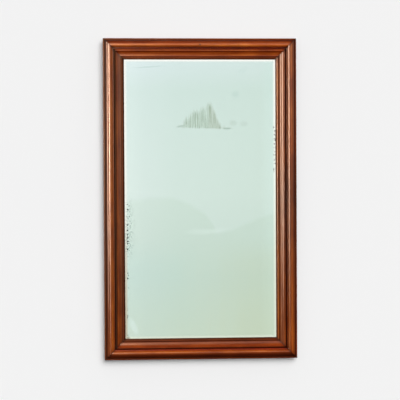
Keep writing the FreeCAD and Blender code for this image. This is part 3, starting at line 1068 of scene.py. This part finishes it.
def add_bar(mesh: bmesh.types.BMesh, radius: float, length: float, place: Matrix) -> None:
    """Add a round bar.

    Args:
        mesh: The mesh that it joins.
        radius: Its radius.
        length: Its length, on its own Z.
        place: Its place and turn.
    """
    bmesh.ops.create_cone(
        mesh, cap_ends=True, segments=24, radius1=radius, radius2=radius, depth=length, matrix=place
    )


def bore(piece: bpy.types.Object, cutter: bmesh.types.BMesh) -> None:
    """Cut a tool's shape out of a piece.

    Args:
        piece: The piece that is bored.
        cutter: The tool's closed mesh; it is freed.
    """
    data = bpy.data.meshes.new("cutter")
    cutter.to_mesh(data)
    cutter.free()
    tool = bpy.data.objects.new("cutter", data)
    bpy.context.scene.collection.objects.link(tool)
    cut = piece.modifiers.new("bored", "BOOLEAN")
    cut.operation, cut.solver, cut.object = "DIFFERENCE", "EXACT", tool
    bpy.context.view_layer.update()
    bored = bpy.data.meshes.new_from_object(piece.evaluated_get(bpy.context.evaluated_depsgraph_get()))
    piece.modifiers.clear()
    piece.data = bored
    smooth_flats(bored)
    bpy.data.objects.remove(tool)


def planed(node: bpy.types.Object, finish: bpy.types.Material) -> bpy.types.Object:
    """Make a piece of softwood from a CAD node, with its long sharp edges eased as a plane leaves them.

    Args:
        node: The CAD node that the piece stands for.
        finish: Its material.

    Returns:
        The new piece.
    """
    mesh = bmesh.new()
    mesh.from_mesh(node.data)
    bmesh.ops.remove_doubles(mesh, verts=mesh.verts, dist=ONE_CAD_POINT)
    bmesh.ops.dissolve_limit(mesh, angle_limit=ONE_CAD_FACE, verts=mesh.verts, edges=mesh.edges)
    shared = [e for e in mesh.edges if len(e.link_faces) == 2]
    long = [e for e in shared if e.calc_length() > EASED_OVER]
    sharp = [e for e in long if e.calc_face_angle_signed(0) > SHARP_ABOVE]
    round_off(mesh, sharp, PLANED, 2, "EDGES")
    return as_piece(mesh, f"{node.name}_planed", finish, "softwood", FRAME_BODY, node.name)


class SectionPen:
    """Draws a moulding's section across the member, from its outer foot over its face to its inner foot."""

    def __init__(self, mesh: bmesh.types.BMesh, ground: float, inset: float) -> None:
        """Put the pen down on the ground frame's face.

        Args:
            mesh: The bmesh that the section joins.
            ground: Lift of the face that rises are measured from.
            inset: Where the section starts.
        """
        self.mesh = mesh
        self.ground = ground
        self.point = mesh.verts.new(self.spot(inset, 0))
        self.rounds: list[tuple[float, bmesh.types.BMVert]] = []

    def spot(self, inset: float, rise: float) -> Vector:
        """The place of a point of the section."""
        return Vector((0, -self.ground - rise, inset))

    def line(self, inset: float, rise: float, corner: float = 0) -> None:
        """Draw a straight line.

        Args:
            inset: Where it ends.
            rise: Its height there.
            corner: How far the corner at its end is rounded off.
        """
        made = bmesh.ops.extrude_vert_indiv(self.mesh, verts=[self.point])
        self.point = made["verts"][0]
        self.point.co = self.spot(inset, rise)
        if corner:
            self.rounds.append((corner, self.point))

    def arc(self, inset: float, rise: float, degrees: float, steps: int) -> None:
        """Draw an arc.

        Args:
            inset: Inset of its centre.
            rise: Height of its centre.
            degrees: How far it turns: over a round when positive, through a hollow when negative.
            steps: How many chords it is drawn with.
        """
        made = bmesh.ops.spin(
            self.mesh,
            geom=[self.point],
            cent=self.spot(inset, rise),
            axis=(-1, 0, 0),
            angle=math.radians(degrees),
            steps=steps,
            use_duplicate=False,
        )
        self.point = only(bmesh.types.BMVert, made["geom_last"])[0]

    def close(self) -> None:
        """Join the section's end to its start, fill it and round its corners."""
        mesh = self.mesh
        mesh.verts.ensure_lookup_table()
        ends = [v for v in mesh.verts if len(v.link_edges) == 1]
        mesh.edges.new(ends)
        bmesh.ops.contextual_create(mesh, geom=list(mesh.edges))
        for width in sorted({width for width, _ in self.rounds}):
            corners = [corner for each, corner in self.rounds if each == width]
            round_off(mesh, corners, width, 4)


def run_and_mitre(mesh: bmesh.types.BMesh, half_length: float) -> None:
    """Run a drawn section along its member and cut both ends at 45 degrees.

    Args:
        mesh: A bmesh with one face, the section.
        half_length: Half the member's length at its outer edge.
    """
    bmesh.ops.translate(mesh, verts=mesh.verts, vec=(-half_length, 0, 0))
    made = bmesh.ops.extrude_face_region(mesh, geom=list(mesh.faces))
    bmesh.ops.translate(mesh, verts=only(bmesh.types.BMVert, made["geom"]), vec=(2 * half_length, 0, 0))
    for end in (-1, 1):
        cut = bmesh.ops.bisect_plane(
            mesh,
            geom=list(mesh.verts) + list(mesh.edges) + list(mesh.faces),
            dist=CUT_WITHIN,
            plane_co=(end * half_length, 0, 0),
            plane_no=(end, 0, 1),
            clear_outer=True,
        )
        bmesh.ops.contextual_create(mesh, geom=only(bmesh.types.BMEdge, cut["geom_cut"]))


# Wear, with painted light and shade, along the roll for each side
ROLL_WEAR_AND_PAINTED_LIGHT = {
    Side.TOP: ("#7C5A42", "#A88870", "#D0B8A4", "#FFFFFF", "#FFFFFF", "#F88C4C", "#E07C30"),
    Side.LEFT: ("#C8A894", "#CCB098", "#CCB4A0", "#F0E2D8", "#FFFFFF", "#FFF4EC", "#F4C4A8"),
    Side.RIGHT: ("#A89278", "#C4BCA8", "#FFFFFF", "#B8A090", "#C4B4A8", "#FFE8E0", "#946040"),
    Side.BOTTOM: ("#A08060", "#80542E", "#84603C", "#C8B09C", "#FFFFFF", "#F08C4C", "#D07434"),
}
# Wear of the roll's foot, flank, shoulder, crest, inner side, root and heel, as tints for each side, with
# painted light and shade: the bottom's downward flank is painted darker as shade, and the stiles carry a
# painted pale sheen.
"""Wear of the roll's foot, flank, shoulder, crest, inner side, root and heel, as tints for each side."""

# Wear, with painted light and shade, across the sight moulding for each side
SIGHT_WEAR_AND_PAINTED_LIGHT = {
    Side.TOP: ("#7A4A24", "#C09C80", "#ECDCD0", "#A87448", "#D8B484", "#D8C6B4", "#987860", "#886448"),
    Side.LEFT: ("#3C1C10", "#40241A", "#684C40", "#8C7058", "#F0ECE8", "#BCAEA4", "#947464", "#4C3426"),
    Side.RIGHT: ("#30160A", "#503024", "#ECDCD4", "#F0E4E0", "#D0C0B0", "#AA9896", "#F0FFFF", "#84604C"),
    Side.BOTTOM: ("#744824", "#74503A", "#C0A490", "#DCB48C", "#E4C498", "#D0C0B0", "#A08068", "#6C4C38"),
}
# Wear of the groove, the nose, its rubbed top, its arris, the step, the cove, the bead and the lip, with
# painted light and shade: the grooves are painted dark as shade, the top's nose is painted lighter where it
# faces up, the right bead carries a painted highlight, and the left lip a painted shadow line.
"""Wear of the groove, the nose, its rubbed top, its arris, the step, the cove, the bead and the lip."""

# Painted shade and a painted dark reflection, by side and height
SIDE_TONES_AND_PAINTED_SHADE = {
    Side.TOP: UNTINTED,
    Side.LEFT: ((0.05, "#C8CCC8"), (0.34, "#BCC4CA")),
    Side.RIGHT: (
        (0.05, "#E8EAF4"), (0.34, "#D0D6D8"), (0.42, "#BCBCBC"),
        (0.50, "#9C9494"), (0.57, "#AEA8A4"), (0.66, "#D8DEE0"),
    ),
    Side.BOTTOM: ((0.0, "#DCD6CC"),),
}
# Tints from the frame's foot to its top: the bottom side is painted darker as shade where the light falls
# off downwards, and the right side carries a painted dark reflection at mid-height and is lighter towards
# its foot.
"""Tints from the frame's foot to its top: the right side is darkened where hands have steadied it."""


@dataclass
class Moulding:
    """A moulding on the frame's four sides, mitred at the corners.

    Args:
        outline: The frame that it belongs to.
        arris: How far its sharp edges are rounded off.
        joint: Inset of the joint between the outer and the inner moulding.
        groove_floor: Height of the groove over that joint.
    """

    KIND: ClassVar[str]
    FIRST_CUT: ClassVar[float]
    NEXT_CUT: ClassVar[float]

    outline: Outline
    arris: float = 0.8 * MM
    joint: float = 50 * MM
    groove_floor: float = 7 * MM

    def tints(self, side: Side) -> Stops:
        """The colour's tints by share of the face's width: wear and wax, with painted light and shade."""
        raise NotImplementedError

    def section(self, mesh: bmesh.types.BMesh) -> None:
        """Draw the moulding's section."""
        raise NotImplementedError

    def nail(self, side: Side) -> float | None:
        """Inset of the old nail hole on a side, or None."""
        return None

    def build(self) -> dict[Side, bpy.types.Object]:
        """Make and dress the four sides.

        Returns:
            The pieces by side.
        """
        pieces = {}
        for number, side in enumerate(Side):
            mesh = bmesh.new()
            self.section(mesh)
            run_and_mitre(mesh, self.outline.along(side))
            bmesh.ops.transform(mesh, matrix=self.outline.placed(side), verts=mesh.verts)
            finish = PolishedWalnut(
                name=f"polished walnut {self.KIND} {side.label}",
                side=side,
                outline=self.outline,
                shift=self.FIRST_CUT + self.NEXT_CUT * number,
                hollows=self.tints(side),
                tone=SIDE_TONES_AND_PAINTED_SHADE[side],
                nail=self.nail(side),
            )
            node = f"{self.KIND}_moulding_{side.label}"
            pieces[side] = as_piece(mesh, f"{node}_polished", finish.material(), "walnut", FRAME_BODY, node)
        return pieces


@dataclass
class RollMoulding(Moulding):
    """The outer moulding: an edge fillet, a quirk, a roll (easy outside, tight inside) and its foot."""

    KIND = "roll"
    FIRST_CUT = 3.1
    NEXT_CUT = 7.3

    edge_height: float = 12 * MM
    edge_width: float = 7.5 * MM
    edge_round: float = 2 * MM
    quirk_floor: float = 9.5 * MM
    roll_start: float = 9.5 * MM
    spring_height: float = 10 * MM
    outer_radius: float = 22 * MM
    crest_width: float = 2 * MM
    inner_radius: float = 11.5 * MM
    foot_end: float = 47 * MM
    nail_hole_radius: float = 2.5 * MM
    nail_hole_depth: float = 20 * MM

    @property
    def crest_start(self) -> float:
        """Inset of the crest's outer end."""
        return self.roll_start + self.outer_radius

    @property
    def crest_end(self) -> float:
        """Inset of the crest's inner end, where the old nail hole is."""
        return self.crest_start + self.crest_width

    @property
    def crest(self) -> float:
        """Height of the crest."""
        return self.spring_height + self.outer_radius

    def tints(self, side: Side) -> Stops:
        """The colour's tints from the edge to the groove: wear and wax, with painted light and shade.

        Args:
            side: The side of the frame.

        Returns:
            Tints by share of the face's width.
        """
        foot, flank, shoulder, crest, inner, root, heel = ROLL_WEAR_AND_PAINTED_LIGHT[side]
        # The quirk's dark is wax with painted shade; each side's stops carry painted light and shade too
        return (
            (0.0, "#A0826C"), (0.06, "#98745C"), (0.075, "#603A20"), (0.095, "#603A20"),
            (0.13, foot), (0.21, flank), (0.27, shoulder), (0.32, crest), (0.38, inner),
            (0.42, "#FFFFFF"), (0.46, root), (0.48, heel), (0.50, "#94602C"),
        )

    def section(self, mesh: bmesh.types.BMesh) -> None:
        """Draw the moulding's section.

        Args:
            mesh: The bmesh that it joins.
        """
        pen = SectionPen(mesh, self.outline.ground_thickness, 0)
        pen.line(0, self.edge_height, self.edge_round)
        pen.line(self.edge_width, self.edge_height, self.arris)
        pen.line(self.edge_width, self.quirk_floor)
        pen.line(self.roll_start, self.quirk_floor)
        pen.line(self.roll_start, self.spring_height)
        pen.arc(self.crest_start, self.spring_height, 90, 24)
        pen.line(self.crest_end, self.crest)
        pen.arc(self.crest_end, self.crest - self.inner_radius, 90, 20)
        pen.line(self.crest_end + self.inner_radius, self.edge_height)
        pen.line(self.foot_end, self.edge_height, self.arris)
        pen.line(self.foot_end, self.groove_floor)
        pen.line(self.joint, self.groove_floor)
        pen.line(self.joint, 0)
        pen.close()

    def nail(self, side: Side) -> float | None:
        """Inset of the old nail hole, which the top side has in its crest."""
        return self.crest_end if side is Side.TOP else None

    def build(self) -> dict[Side, bpy.types.Object]:
        """Make and dress the four sides, and bore the old nail hole in the top one.

        Returns:
            The pieces by side.
        """
        pieces = super().build()
        top = self.outline.ground_thickness + self.crest
        hole = Matrix.Translation((0, -top, self.outline.height / 2 - self.crest_end))
        inwards = Matrix.Rotation(QUARTER_TURN, 4, "X")
        tool = bmesh.new()
        add_bar(tool, self.nail_hole_radius, 2 * self.nail_hole_depth, hole @ inwards)
        bore(pieces[Side.TOP], tool)
        return pieces


@dataclass
class SightMoulding(Moulding):
    """The inner moulding: a rounded nose, a cove, a quirk, a bead and a thin lip over the plate."""

    KIND = "sight"
    FIRST_CUT = 5.7
    NEXT_CUT = 6.1

    nose_start: float = 50.5 * MM
    nose_radius: float = 9 * MM
    nose_end: float = 60.5 * MM
    nose_height: float = 19 * MM
    cove_top: float = 18 * MM
    cove_end: float = 84 * MM
    cove_foot: float = 6 * MM
    quirk_floor: float = 4 * MM
    bead_start: float = 86 * MM
    bead_radius: float = 4.5 * MM
    lip_height: float = 2.8 * MM

    def tints(self, side: Side) -> Stops:
        """The colour's tints from the groove to the lip: wear and wax, with painted light and shade.

        Args:
            side: The side of the frame.

        Returns:
            Tints by share of the face's width.
        """
        groove, nose, rubbed, arris, step, cove, bead, lip = SIGHT_WEAR_AND_PAINTED_LIGHT[side]
        # The groove and quirk darks are wax with painted shade; each side's stops carry painted light and
        # shade too
        return (
            (0.50, groove), (0.53, groove), (0.56, nose), (0.60, rubbed), (0.62, arris), (0.66, step),
            (0.74, cove), (0.83, cove), (0.85, "#7A4C28"), (0.90, bead), (0.93, bead),
            (0.96, lip), (1.0, lip),
        )

    def section(self, mesh: bmesh.types.BMesh) -> None:
        """Draw the moulding's section.

        Args:
            mesh: The bmesh that it joins.
        """
        width = self.cove_end - self.nose_end
        drop = self.cove_top - self.cove_foot
        cove_radius = (width**2 + drop**2) / (2 * drop)
        cove_turn = math.degrees(math.asin(width / cove_radius))
        nose_spring = self.nose_height - self.nose_radius
        pen = SectionPen(mesh, self.outline.ground_thickness, self.joint)
        pen.line(self.joint, self.groove_floor)
        pen.line(self.nose_start, self.groove_floor)
        pen.line(self.nose_start, nose_spring)
        pen.arc(self.nose_start + self.nose_radius, nose_spring, 90, 14)
        pen.line(self.nose_end, self.nose_height, self.arris)
        pen.line(self.nose_end, self.cove_top)
        pen.arc(self.cove_end, self.cove_foot + cove_radius, -cove_turn, 24)
        pen.line(self.cove_end, self.quirk_floor)
        pen.line(self.bead_start, self.quirk_floor)
        pen.arc(self.bead_start + self.bead_radius, self.quirk_floor, 180, 20)
        pen.line(self.outline.face_width, self.lip_height, self.arris / 2)
        pen.line(self.outline.face_width, 0)
        pen.close()


@dataclass
class GroundFrame:
    """The pine frame that carries everything, with its pegs and the feather keys of the mitres."""

    outline: Outline
    nodes: Nodes
    member_middle: float = 43.5 * MM

    def build(self) -> None:
        """Dress the rails, the stiles, the pegs and the keys."""
        for number, side in enumerate(Side):
            label = f"ground_{'stile' if side.upright else 'rail'}_{side.label}"
            middle = self.member_middle - self.outline.across(side)
            shift = 2.3 + 1.9 * number
            finish = OldPine(f"aged pine {label}", side.value, middle, shift, stained=self.outline)
            planed(self.nodes[label], finish.material())
        dress(self.nodes["corner_pegs"], OakPeg().material())
        keys = PolishedWalnut("walnut keys", Side.TOP, self.outline, shift=1.0, hollows=UNTINTED)
        dress(self.nodes["corner_keys"], keys.material())


@dataclass
class MirrorPlate:
    """The bevelled plate, its silver, and the blocks and shims that hold it."""

    outline: Outline
    nodes: Nodes
    inset: float = 86 * MM
    back_lift: float = 19.65 * MM
    edge_thickness: float = 2.5 * MM
    thickness: float = 6 * MM
    bevel_width: float = AgedSilver.BEVEL_WIDTH
    bedding: float = 0.1 * MM

    def build(self) -> None:
        """Make the plate and dress it with what lies behind it."""
        width = self.outline.width - 2 * self.inset
        height = self.outline.height - 2 * self.inset
        as_piece(
            self.plate(width, height),
            "bevelled_plate",
            CrownGlass().material(),
            "plate_glass",
            FRAME_BODY,
            "mirror_glass",
        )
        dress(self.nodes["silvering"], AgedSilver(width / 2, height / 2).material())
        for number, side in enumerate(Side):
            finish = OldPine(f"pine blocks {side.label}", side.value, 0, 8.0 + number)
            dress(self.nodes[f"glazing_blocks_{side.label}"], finish.material())
        dress(self.nodes["setting_shims"], OldPine("pine shims", 0, 0, 5.5).material())

    def plate(self, width: float, height: float) -> bmesh.types.BMesh:
        """Grind the plate: flat behind, thin at the edge, and bevelled up to its face.

        Args:
            width: Its width.
            height: Its height.

        Returns:
            Its mesh.
        """
        mesh = bmesh.new()
        bmesh.ops.create_grid(mesh, x_segments=1, y_segments=1, size=0.5)
        bmesh.ops.scale(mesh, vec=(width, height, 1), verts=mesh.verts)
        bmesh.ops.rotate(mesh, matrix=Matrix.Rotation(QUARTER_TURN, 3, "X"), verts=mesh.verts)
        bmesh.ops.translate(mesh, vec=(0, self.bedding - self.back_lift, 0), verts=mesh.verts)
        made = bmesh.ops.extrude_face_region(mesh, geom=list(mesh.faces))["geom"]
        forwards = (0, -self.edge_thickness - self.bedding, 0)
        bmesh.ops.translate(mesh, vec=forwards, verts=only(bmesh.types.BMVert, made))
        bmesh.ops.inset_region(
            mesh,
            faces=only(bmesh.types.BMFace, made),
            thickness=self.bevel_width,
            depth=self.thickness - self.edge_thickness,
            use_even_offset=True,
        )
        return mesh


@dataclass
class BackBoards:
    """Seven lapped boards behind the plate, and the cut nails that hold them."""

    nodes: Nodes
    count: int = 7
    opening_height: float = 1401 * MM
    shades: tuple[tuple[str, str], ...] = (
        ("#B99263", "#9A7144"),
        ("#AB8356", "#8D6439"),
        ("#C39D6E", "#A67C4E"),
    )

    def build(self) -> None:
        """Make the boards and dress the nails."""
        half = self.opening_height / self.count / 2
        for number in range(1, self.count + 1):
            early, late = self.shades[number % len(self.shades)]
            middle = (2 * number - 1) * half - self.opening_height / 2
            name = f"aged pine board {number}"
            finish = OldPine(name, 0, middle, 1.7 * number, early, late, board=(middle, half))
            planed(self.nodes[f"back_board_{number}"], finish.material())
        dress(self.nodes["board_nails"], OldIron("rusty nail iron", rust=0.9).material())


@dataclass
class RingHangers:
    """Two iron straps let into the stiles, each with a D ring of square stock that swings in its curl.

    The ring is drawn with its bar on X and its bow up, then leaned against the wall and moved to its pivot.
    """

    nodes: Nodes
    stock: float = 4.5 * MM
    arris: float = 0.6 * MM
    half_width: float = 14 * MM
    corner_radius: float = 5 * MM
    bow_centre: float = 14 * MM
    bar_radius: float = 2.1 * MM
    lean: float = 3.6
    pivot: Point = (427 * MM, -4.7 * MM, 472.5 * MM)

    def ring(self) -> bmesh.types.BMesh:
        """Forge one ring: square stock bent round from one end of the bar to the other, and the bar.

        Returns:
            Its mesh.
        """
        mesh = bmesh.new()
        bar_end = self.half_width - self.corner_radius
        sideways = Matrix.Rotation(QUARTER_TURN, 4, "Y")
        start = Matrix.Translation((bar_end, 0, 0)) @ sideways
        bmesh.ops.create_grid(mesh, x_segments=1, y_segments=1, size=self.stock / 2, matrix=start)
        round_off(mesh, list(mesh.verts), self.arris, 3)
        straight = self.bow_centre - self.corner_radius
        end = self.bent(mesh, list(mesh.faces), (bar_end, 0, self.corner_radius), 90, 8)
        end = self.drawn(mesh, end, (0, 0, straight))
        end = self.bent(mesh, end, (0, 0, self.bow_centre), 180, 40)
        end = self.drawn(mesh, end, (0, 0, -straight))
        self.bent(mesh, end, (-bar_end, 0, self.corner_radius), 90, 8)
        add_bar(mesh, self.bar_radius, 2 * bar_end + self.stock / 2, sideways)
        return mesh

    def bent(
        self, mesh: bmesh.types.BMesh, end: Faces, centre: Point, degrees: float, steps: int
    ) -> Faces:
        """Bend the stock on from its end.

        Args:
            mesh: The ring so far.
            end: The face at the stock's end.
            centre: Centre of the bend.
            degrees: How far it turns.
            steps: How many chords it is drawn with.

        Returns:
            The face at the new end.
        """
        made = bmesh.ops.spin(
            mesh,
            geom=end,
            cent=centre,
            axis=(0, -1, 0),
            angle=math.radians(degrees),
            steps=steps,
            use_duplicate=False,
        )
        return only(bmesh.types.BMFace, made["geom_last"])

    def drawn(self, mesh: bmesh.types.BMesh, end: Faces, way: Point) -> Faces:
        """Carry the stock on straight.

        Args:
            mesh: The ring so far.
            end: The face at the stock's end.
            way: How far it is carried.

        Returns:
            The face at the new end.
        """
        made = bmesh.ops.extrude_face_region(mesh, geom=end)["geom"]
        bmesh.ops.translate(mesh, verts=only(bmesh.types.BMVert, made), vec=way)
        return only(bmesh.types.BMFace, made)

    def build(self) -> None:
        """Make the rings, and dress the straps and the screws."""
        iron = OldIron("black hanger iron").material()
        x, y, z = self.pivot
        for label, hand in (("left", -1), ("right", 1)):
            dress(self.nodes[f"hanger_strap_{label}"], iron)
            mesh = self.ring()
            place = Matrix.Translation((hand * x, y, z)) @ Matrix.Rotation(math.radians(self.lean), 4, "X")
            bmesh.ops.transform(mesh, matrix=place, verts=mesh.verts)
            node = f"hanger_ring_{label}"
            as_piece(mesh, f"{node}_forged", iron, "hanger_iron", f"ring_{label}", node)
        screws = OldIron("dull screw steel", rust=0.15, metal="#77736E")
        dress(self.nodes["hanger_screws"], screws.material())


@dataclass(frozen=True)
class Pane:
    """A window's pane of soft daylight: its name, middle, width, height and power in watts."""

    name: str
    place: Point
    width: float
    height: float
    power: float


DAYLIGHT = (
    Pane("front window", (-1.0, -2.6, 0.75), 0.36, 1.5, 130.0),
    Pane("front window's middle pane", (-1.0, -2.6, -0.25), 0.36, 0.5, 23.0),
    Pane("front window's lower pane", (-1.0, -2.6, -0.79), 0.36, 0.56, 8.0),
    Pane("side window", (-4.4, -2.2, 1.25), 1.2, 3.6, 340.0),
    Pane("side window's lower pane", (-4.4, -2.2, -0.83), 1.2, 0.52, 20.0),
)


@dataclass
class Studio:
    """A pale wall and floor, soft lamps, and the camera (angles in degrees, focal length in mm)."""

    camera_place: Point = (-0.176, -4.311, 0.045)
    yaw: float = 2.317
    pitch: float = -0.665
    roll: float = -0.298
    focal: float = 80.0
    floor_level: float = -1.1
    wall_size: tuple[float, float] = (14, 8)
    floor_size: tuple[float, float] = (14, 14)
    backdrop: float = 0.89
    daylight: str = "#FFDCC2"

    def build(self) -> None:
        """Set up the wall, the floor, the lamps and the camera."""
        middle = Matrix.Translation((0, 1 * MM, self.floor_level + self.wall_size[1] / 2))
        upright = Matrix.Rotation(QUARTER_TURN, 4, "X")
        wall = self.plane("wall", self.wall_size, middle @ upright, "#FAFAFA")
        wall.visible_diffuse = wall.visible_glossy = wall.visible_shadow = wall.visible_transmission = False
        level = Matrix.Translation((0, 0, self.floor_level))
        floor = self.plane("floor", self.floor_size, level, "#E4E4E4")
        floor.visible_transmission = floor.visible_glossy = floor.visible_diffuse = False
        self.light()
        self.surroundings()
        self.camera()
        LOG.info("studio: wall, floor, lamps and camera")

    def plane(self, name: str, size: tuple[float, float], move: Matrix, tone: str) -> bpy.types.Object:
        """Set up a plain pale surface that shows from its front only.

        Args:
            name: Its name.
            size: Its length on its own X and Y.
            move: Its place.
            tone: Its colour.

        Returns:
            The surface.
        """
        mesh = bmesh.new()
        bmesh.ops.create_grid(mesh, x_segments=1, y_segments=1, size=0.5)
        bmesh.ops.scale(mesh, vec=(*size, 1), verts=mesh.verts)
        bmesh.ops.transform(mesh, matrix=move, verts=mesh.verts)
        data = bpy.data.meshes.new(name)
        mesh.to_mesh(data)
        mesh.free()
        # Matt paint: one even tone, with no shine for the lamps to show in
        sheet = Sheet(f"pale paint {name}")
        data.materials.append(sheet.shade(Base_Color=tone, Roughness=0.9, Specular_IOR_Level=0.0))
        behind = sheet.add("NewGeometry").outputs["Backfacing"]
        clear = sheet.add("BsdfTransparent")
        one_sided = sheet.add("MixShader", {0: behind, 1: sheet.shader, 2: clear})
        feed(sheet.tree, sheet.output.inputs["Surface"], one_sided)
        surface = bpy.data.objects.new(name, data)
        bpy.context.scene.collection.objects.link(surface)
        surface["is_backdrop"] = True
        return surface

    def lamp(
        self,
        name: str,
        kind: str,
        towards: Point,
        power: float,
        place: Point = (0, 0, 0),
        **settings: object,
    ) -> bpy.types.Object:
        """Hang a lamp that the mirror doesn't show.

        Args:
            name: The lamp's name.
            kind: SUN or AREA.
            towards: The way that it shines.
            power: Its strength.
            place: Where it hangs.
            **settings: Properties of the lamp's data.

        Returns:
            The lamp.
        """
        data = bpy.data.lights.new(name, kind)
        data.energy = power
        for key, value in settings.items():
            setattr(data, key, value)
        lamp = bpy.data.objects.new(name, data)
        bpy.context.scene.collection.objects.link(lamp)
        turn = Vector(towards).to_track_quat("-Z", "Y").to_matrix().to_4x4()
        lamp.matrix_world = Matrix.Translation(place) @ turn
        lamp.visible_camera = False
        lamp.visible_transmission = False
        return lamp

    def light(self) -> None:
        """Hang the lamps: a soft key, a fill from behind, and the daylight that shines on the polish."""
        key = self.lamp("key", "SUN", (-0.27, 0.85, -0.45), 2.45, angle=math.radians(50))
        key.visible_glossy = False
        self.lamp("back fill", "SUN", (0.3, -0.8, -0.5), 2.0, angle=math.radians(60))
        spared = self.spared("bevelled_plate", "silvering")
        for pane in DAYLIGHT:
            x, y, _ = pane.place
            window = self.lamp(
                pane.name,
                "AREA",
                (-x, -y, 0),
                pane.power,
                pane.place,
                shape="RECTANGLE",
                size=pane.width,
                size_y=pane.height,
                color=linear(self.daylight)[:3],
            )
            window.visible_diffuse = False
            window.light_linking.receiver_collection = spared

    def spared(self, *names: str) -> bpy.types.Collection:
        """Gather what the windows leave out, so that they don't stand in the mirror as white strips.

        Args:
            *names: Names of the pieces.

        Returns:
            A collection that a lamp's light linking takes.
        """
        spared = bpy.data.collections.new("spared by the windows")
        for name in names:
            spared.objects.link(bpy.data.objects[name])
        for item in spared.collection_objects:
            item.light_linking.link_state = "EXCLUDE"
        return spared

    def surroundings(self) -> None:
        """Light from all round for dull surfaces, and what gloss, glass and the camera see there."""
        world = bpy.data.worlds.new("studio")
        world.use_nodes = True
        world.node_tree.nodes.clear()
        add = partial(add_node, world.node_tree)
        way = add("SeparateXYZ", {"Vector": add("TexCoord").outputs["Generated"]})
        x, y, z = (way.outputs[axis] for axis in "XYZ")
        rays = add("LightPath")

        # Dull surfaces: a little more light from above and from the right
        high = add("Math", {0: z, 1: 0.26, 2: 0.27}, operation="MULTIPLY_ADD")
        dull = add("Math", {0: x, 1: 0.08, 2: high}, operation="MULTIPLY_ADD")

        # Gloss: a pale band round the horizon, brightest in front, dark above and below
        tall = add("MapRange", {"Value": z, "From Min": -1.0, "From Max": 1.0})
        band = add("ValToRGB", {"Fac": tall}, ((0.42, 0.0), (0.55, 1.0), (0.68, 1.0), (0.82, 0.06)))
        dimming = {"Value": y, "From Min": -0.3, "From Max": -0.75, "To Min": 0.45, "To Max": 0.9}
        ahead = add("MapRange", dimming)
        front = add("Math", {0: band, 1: ahead, 2: 0.02}, operation="MULTIPLY_ADD")
        seen = add("Mix", {"Factor": rays.outputs["Is Glossy Ray"], "A": dull, "B": front})

        # The plate: pale in front, dimmer to the sides and behind
        dimming = {"Value": y, "From Min": -0.93, "From Max": 0.2, "To Min": 1.1, "To Max": 0.7}
        plate = add("MapRange", dimming)
        seen = add("Mix", {"Factor": rays.outputs["Is Transmission Ray"], "A": seen, "B": plate})
        seen = add("Mix", {"Factor": rays.outputs["Is Camera Ray"], "A": seen, "B": self.backdrop})
        shine = add("Background", {"Color": "#FFFFFF", "Strength": seen})
        add("OutputWorld", {"Surface": shine})
        world.cycles.sampling_method = "NONE"
        bpy.context.scene.world = world

    def camera(self) -> None:
        """Set the camera where the mirror was seen from."""
        yaw, pitch, roll = (math.radians(a) for a in (self.yaw, self.pitch, self.roll))
        ahead = Vector((math.sin(yaw) * math.cos(pitch), math.cos(yaw) * math.cos(pitch), math.sin(pitch)))
        level = ahead.cross(Vector((0, 0, 1))).normalized()
        high = level.cross(ahead)
        right = level * math.cos(roll) + high * math.sin(roll)
        up = high * math.cos(roll) - level * math.sin(roll)
        data = bpy.data.cameras.new("camera")
        data.sensor_width = 36.0
        data.lens = self.focal
        camera = bpy.data.objects.new("camera", data)
        bpy.context.scene.collection.objects.link(camera)
        turn = Matrix((right, up, -ahead)).transposed().to_4x4()
        camera.matrix_world = Matrix.Translation(self.camera_place) @ turn
        bpy.context.scene.camera = camera


def corners(box: tuple[Vector, Vector]) -> list[list[float]]:
    """A box's two corners as plain lists of numbers."""
    return [[float(v) for v in corner] for corner in box]


def main() -> None:
    """Build the mirror piece by piece round the CAD frame."""
    logging.basicConfig(level=logging.INFO, format="%(message)s")
    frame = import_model()
    cad_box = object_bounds()
    nodes = frame["nodes"]
    outline = Outline()
    RollMoulding(outline).build()
    SightMoulding(outline).build()
    GroundFrame(outline, nodes).build()
    MirrorPlate(outline, nodes).build()
    BackBoards(nodes).build()
    RingHangers(nodes).build()
    Studio().build()
    scene = bpy.context.scene
    scene.view_settings.view_transform = "Standard"
    {"cad": corners(cad_box), "visual": corners(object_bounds())}


if __name__ == "__main__":
    main()
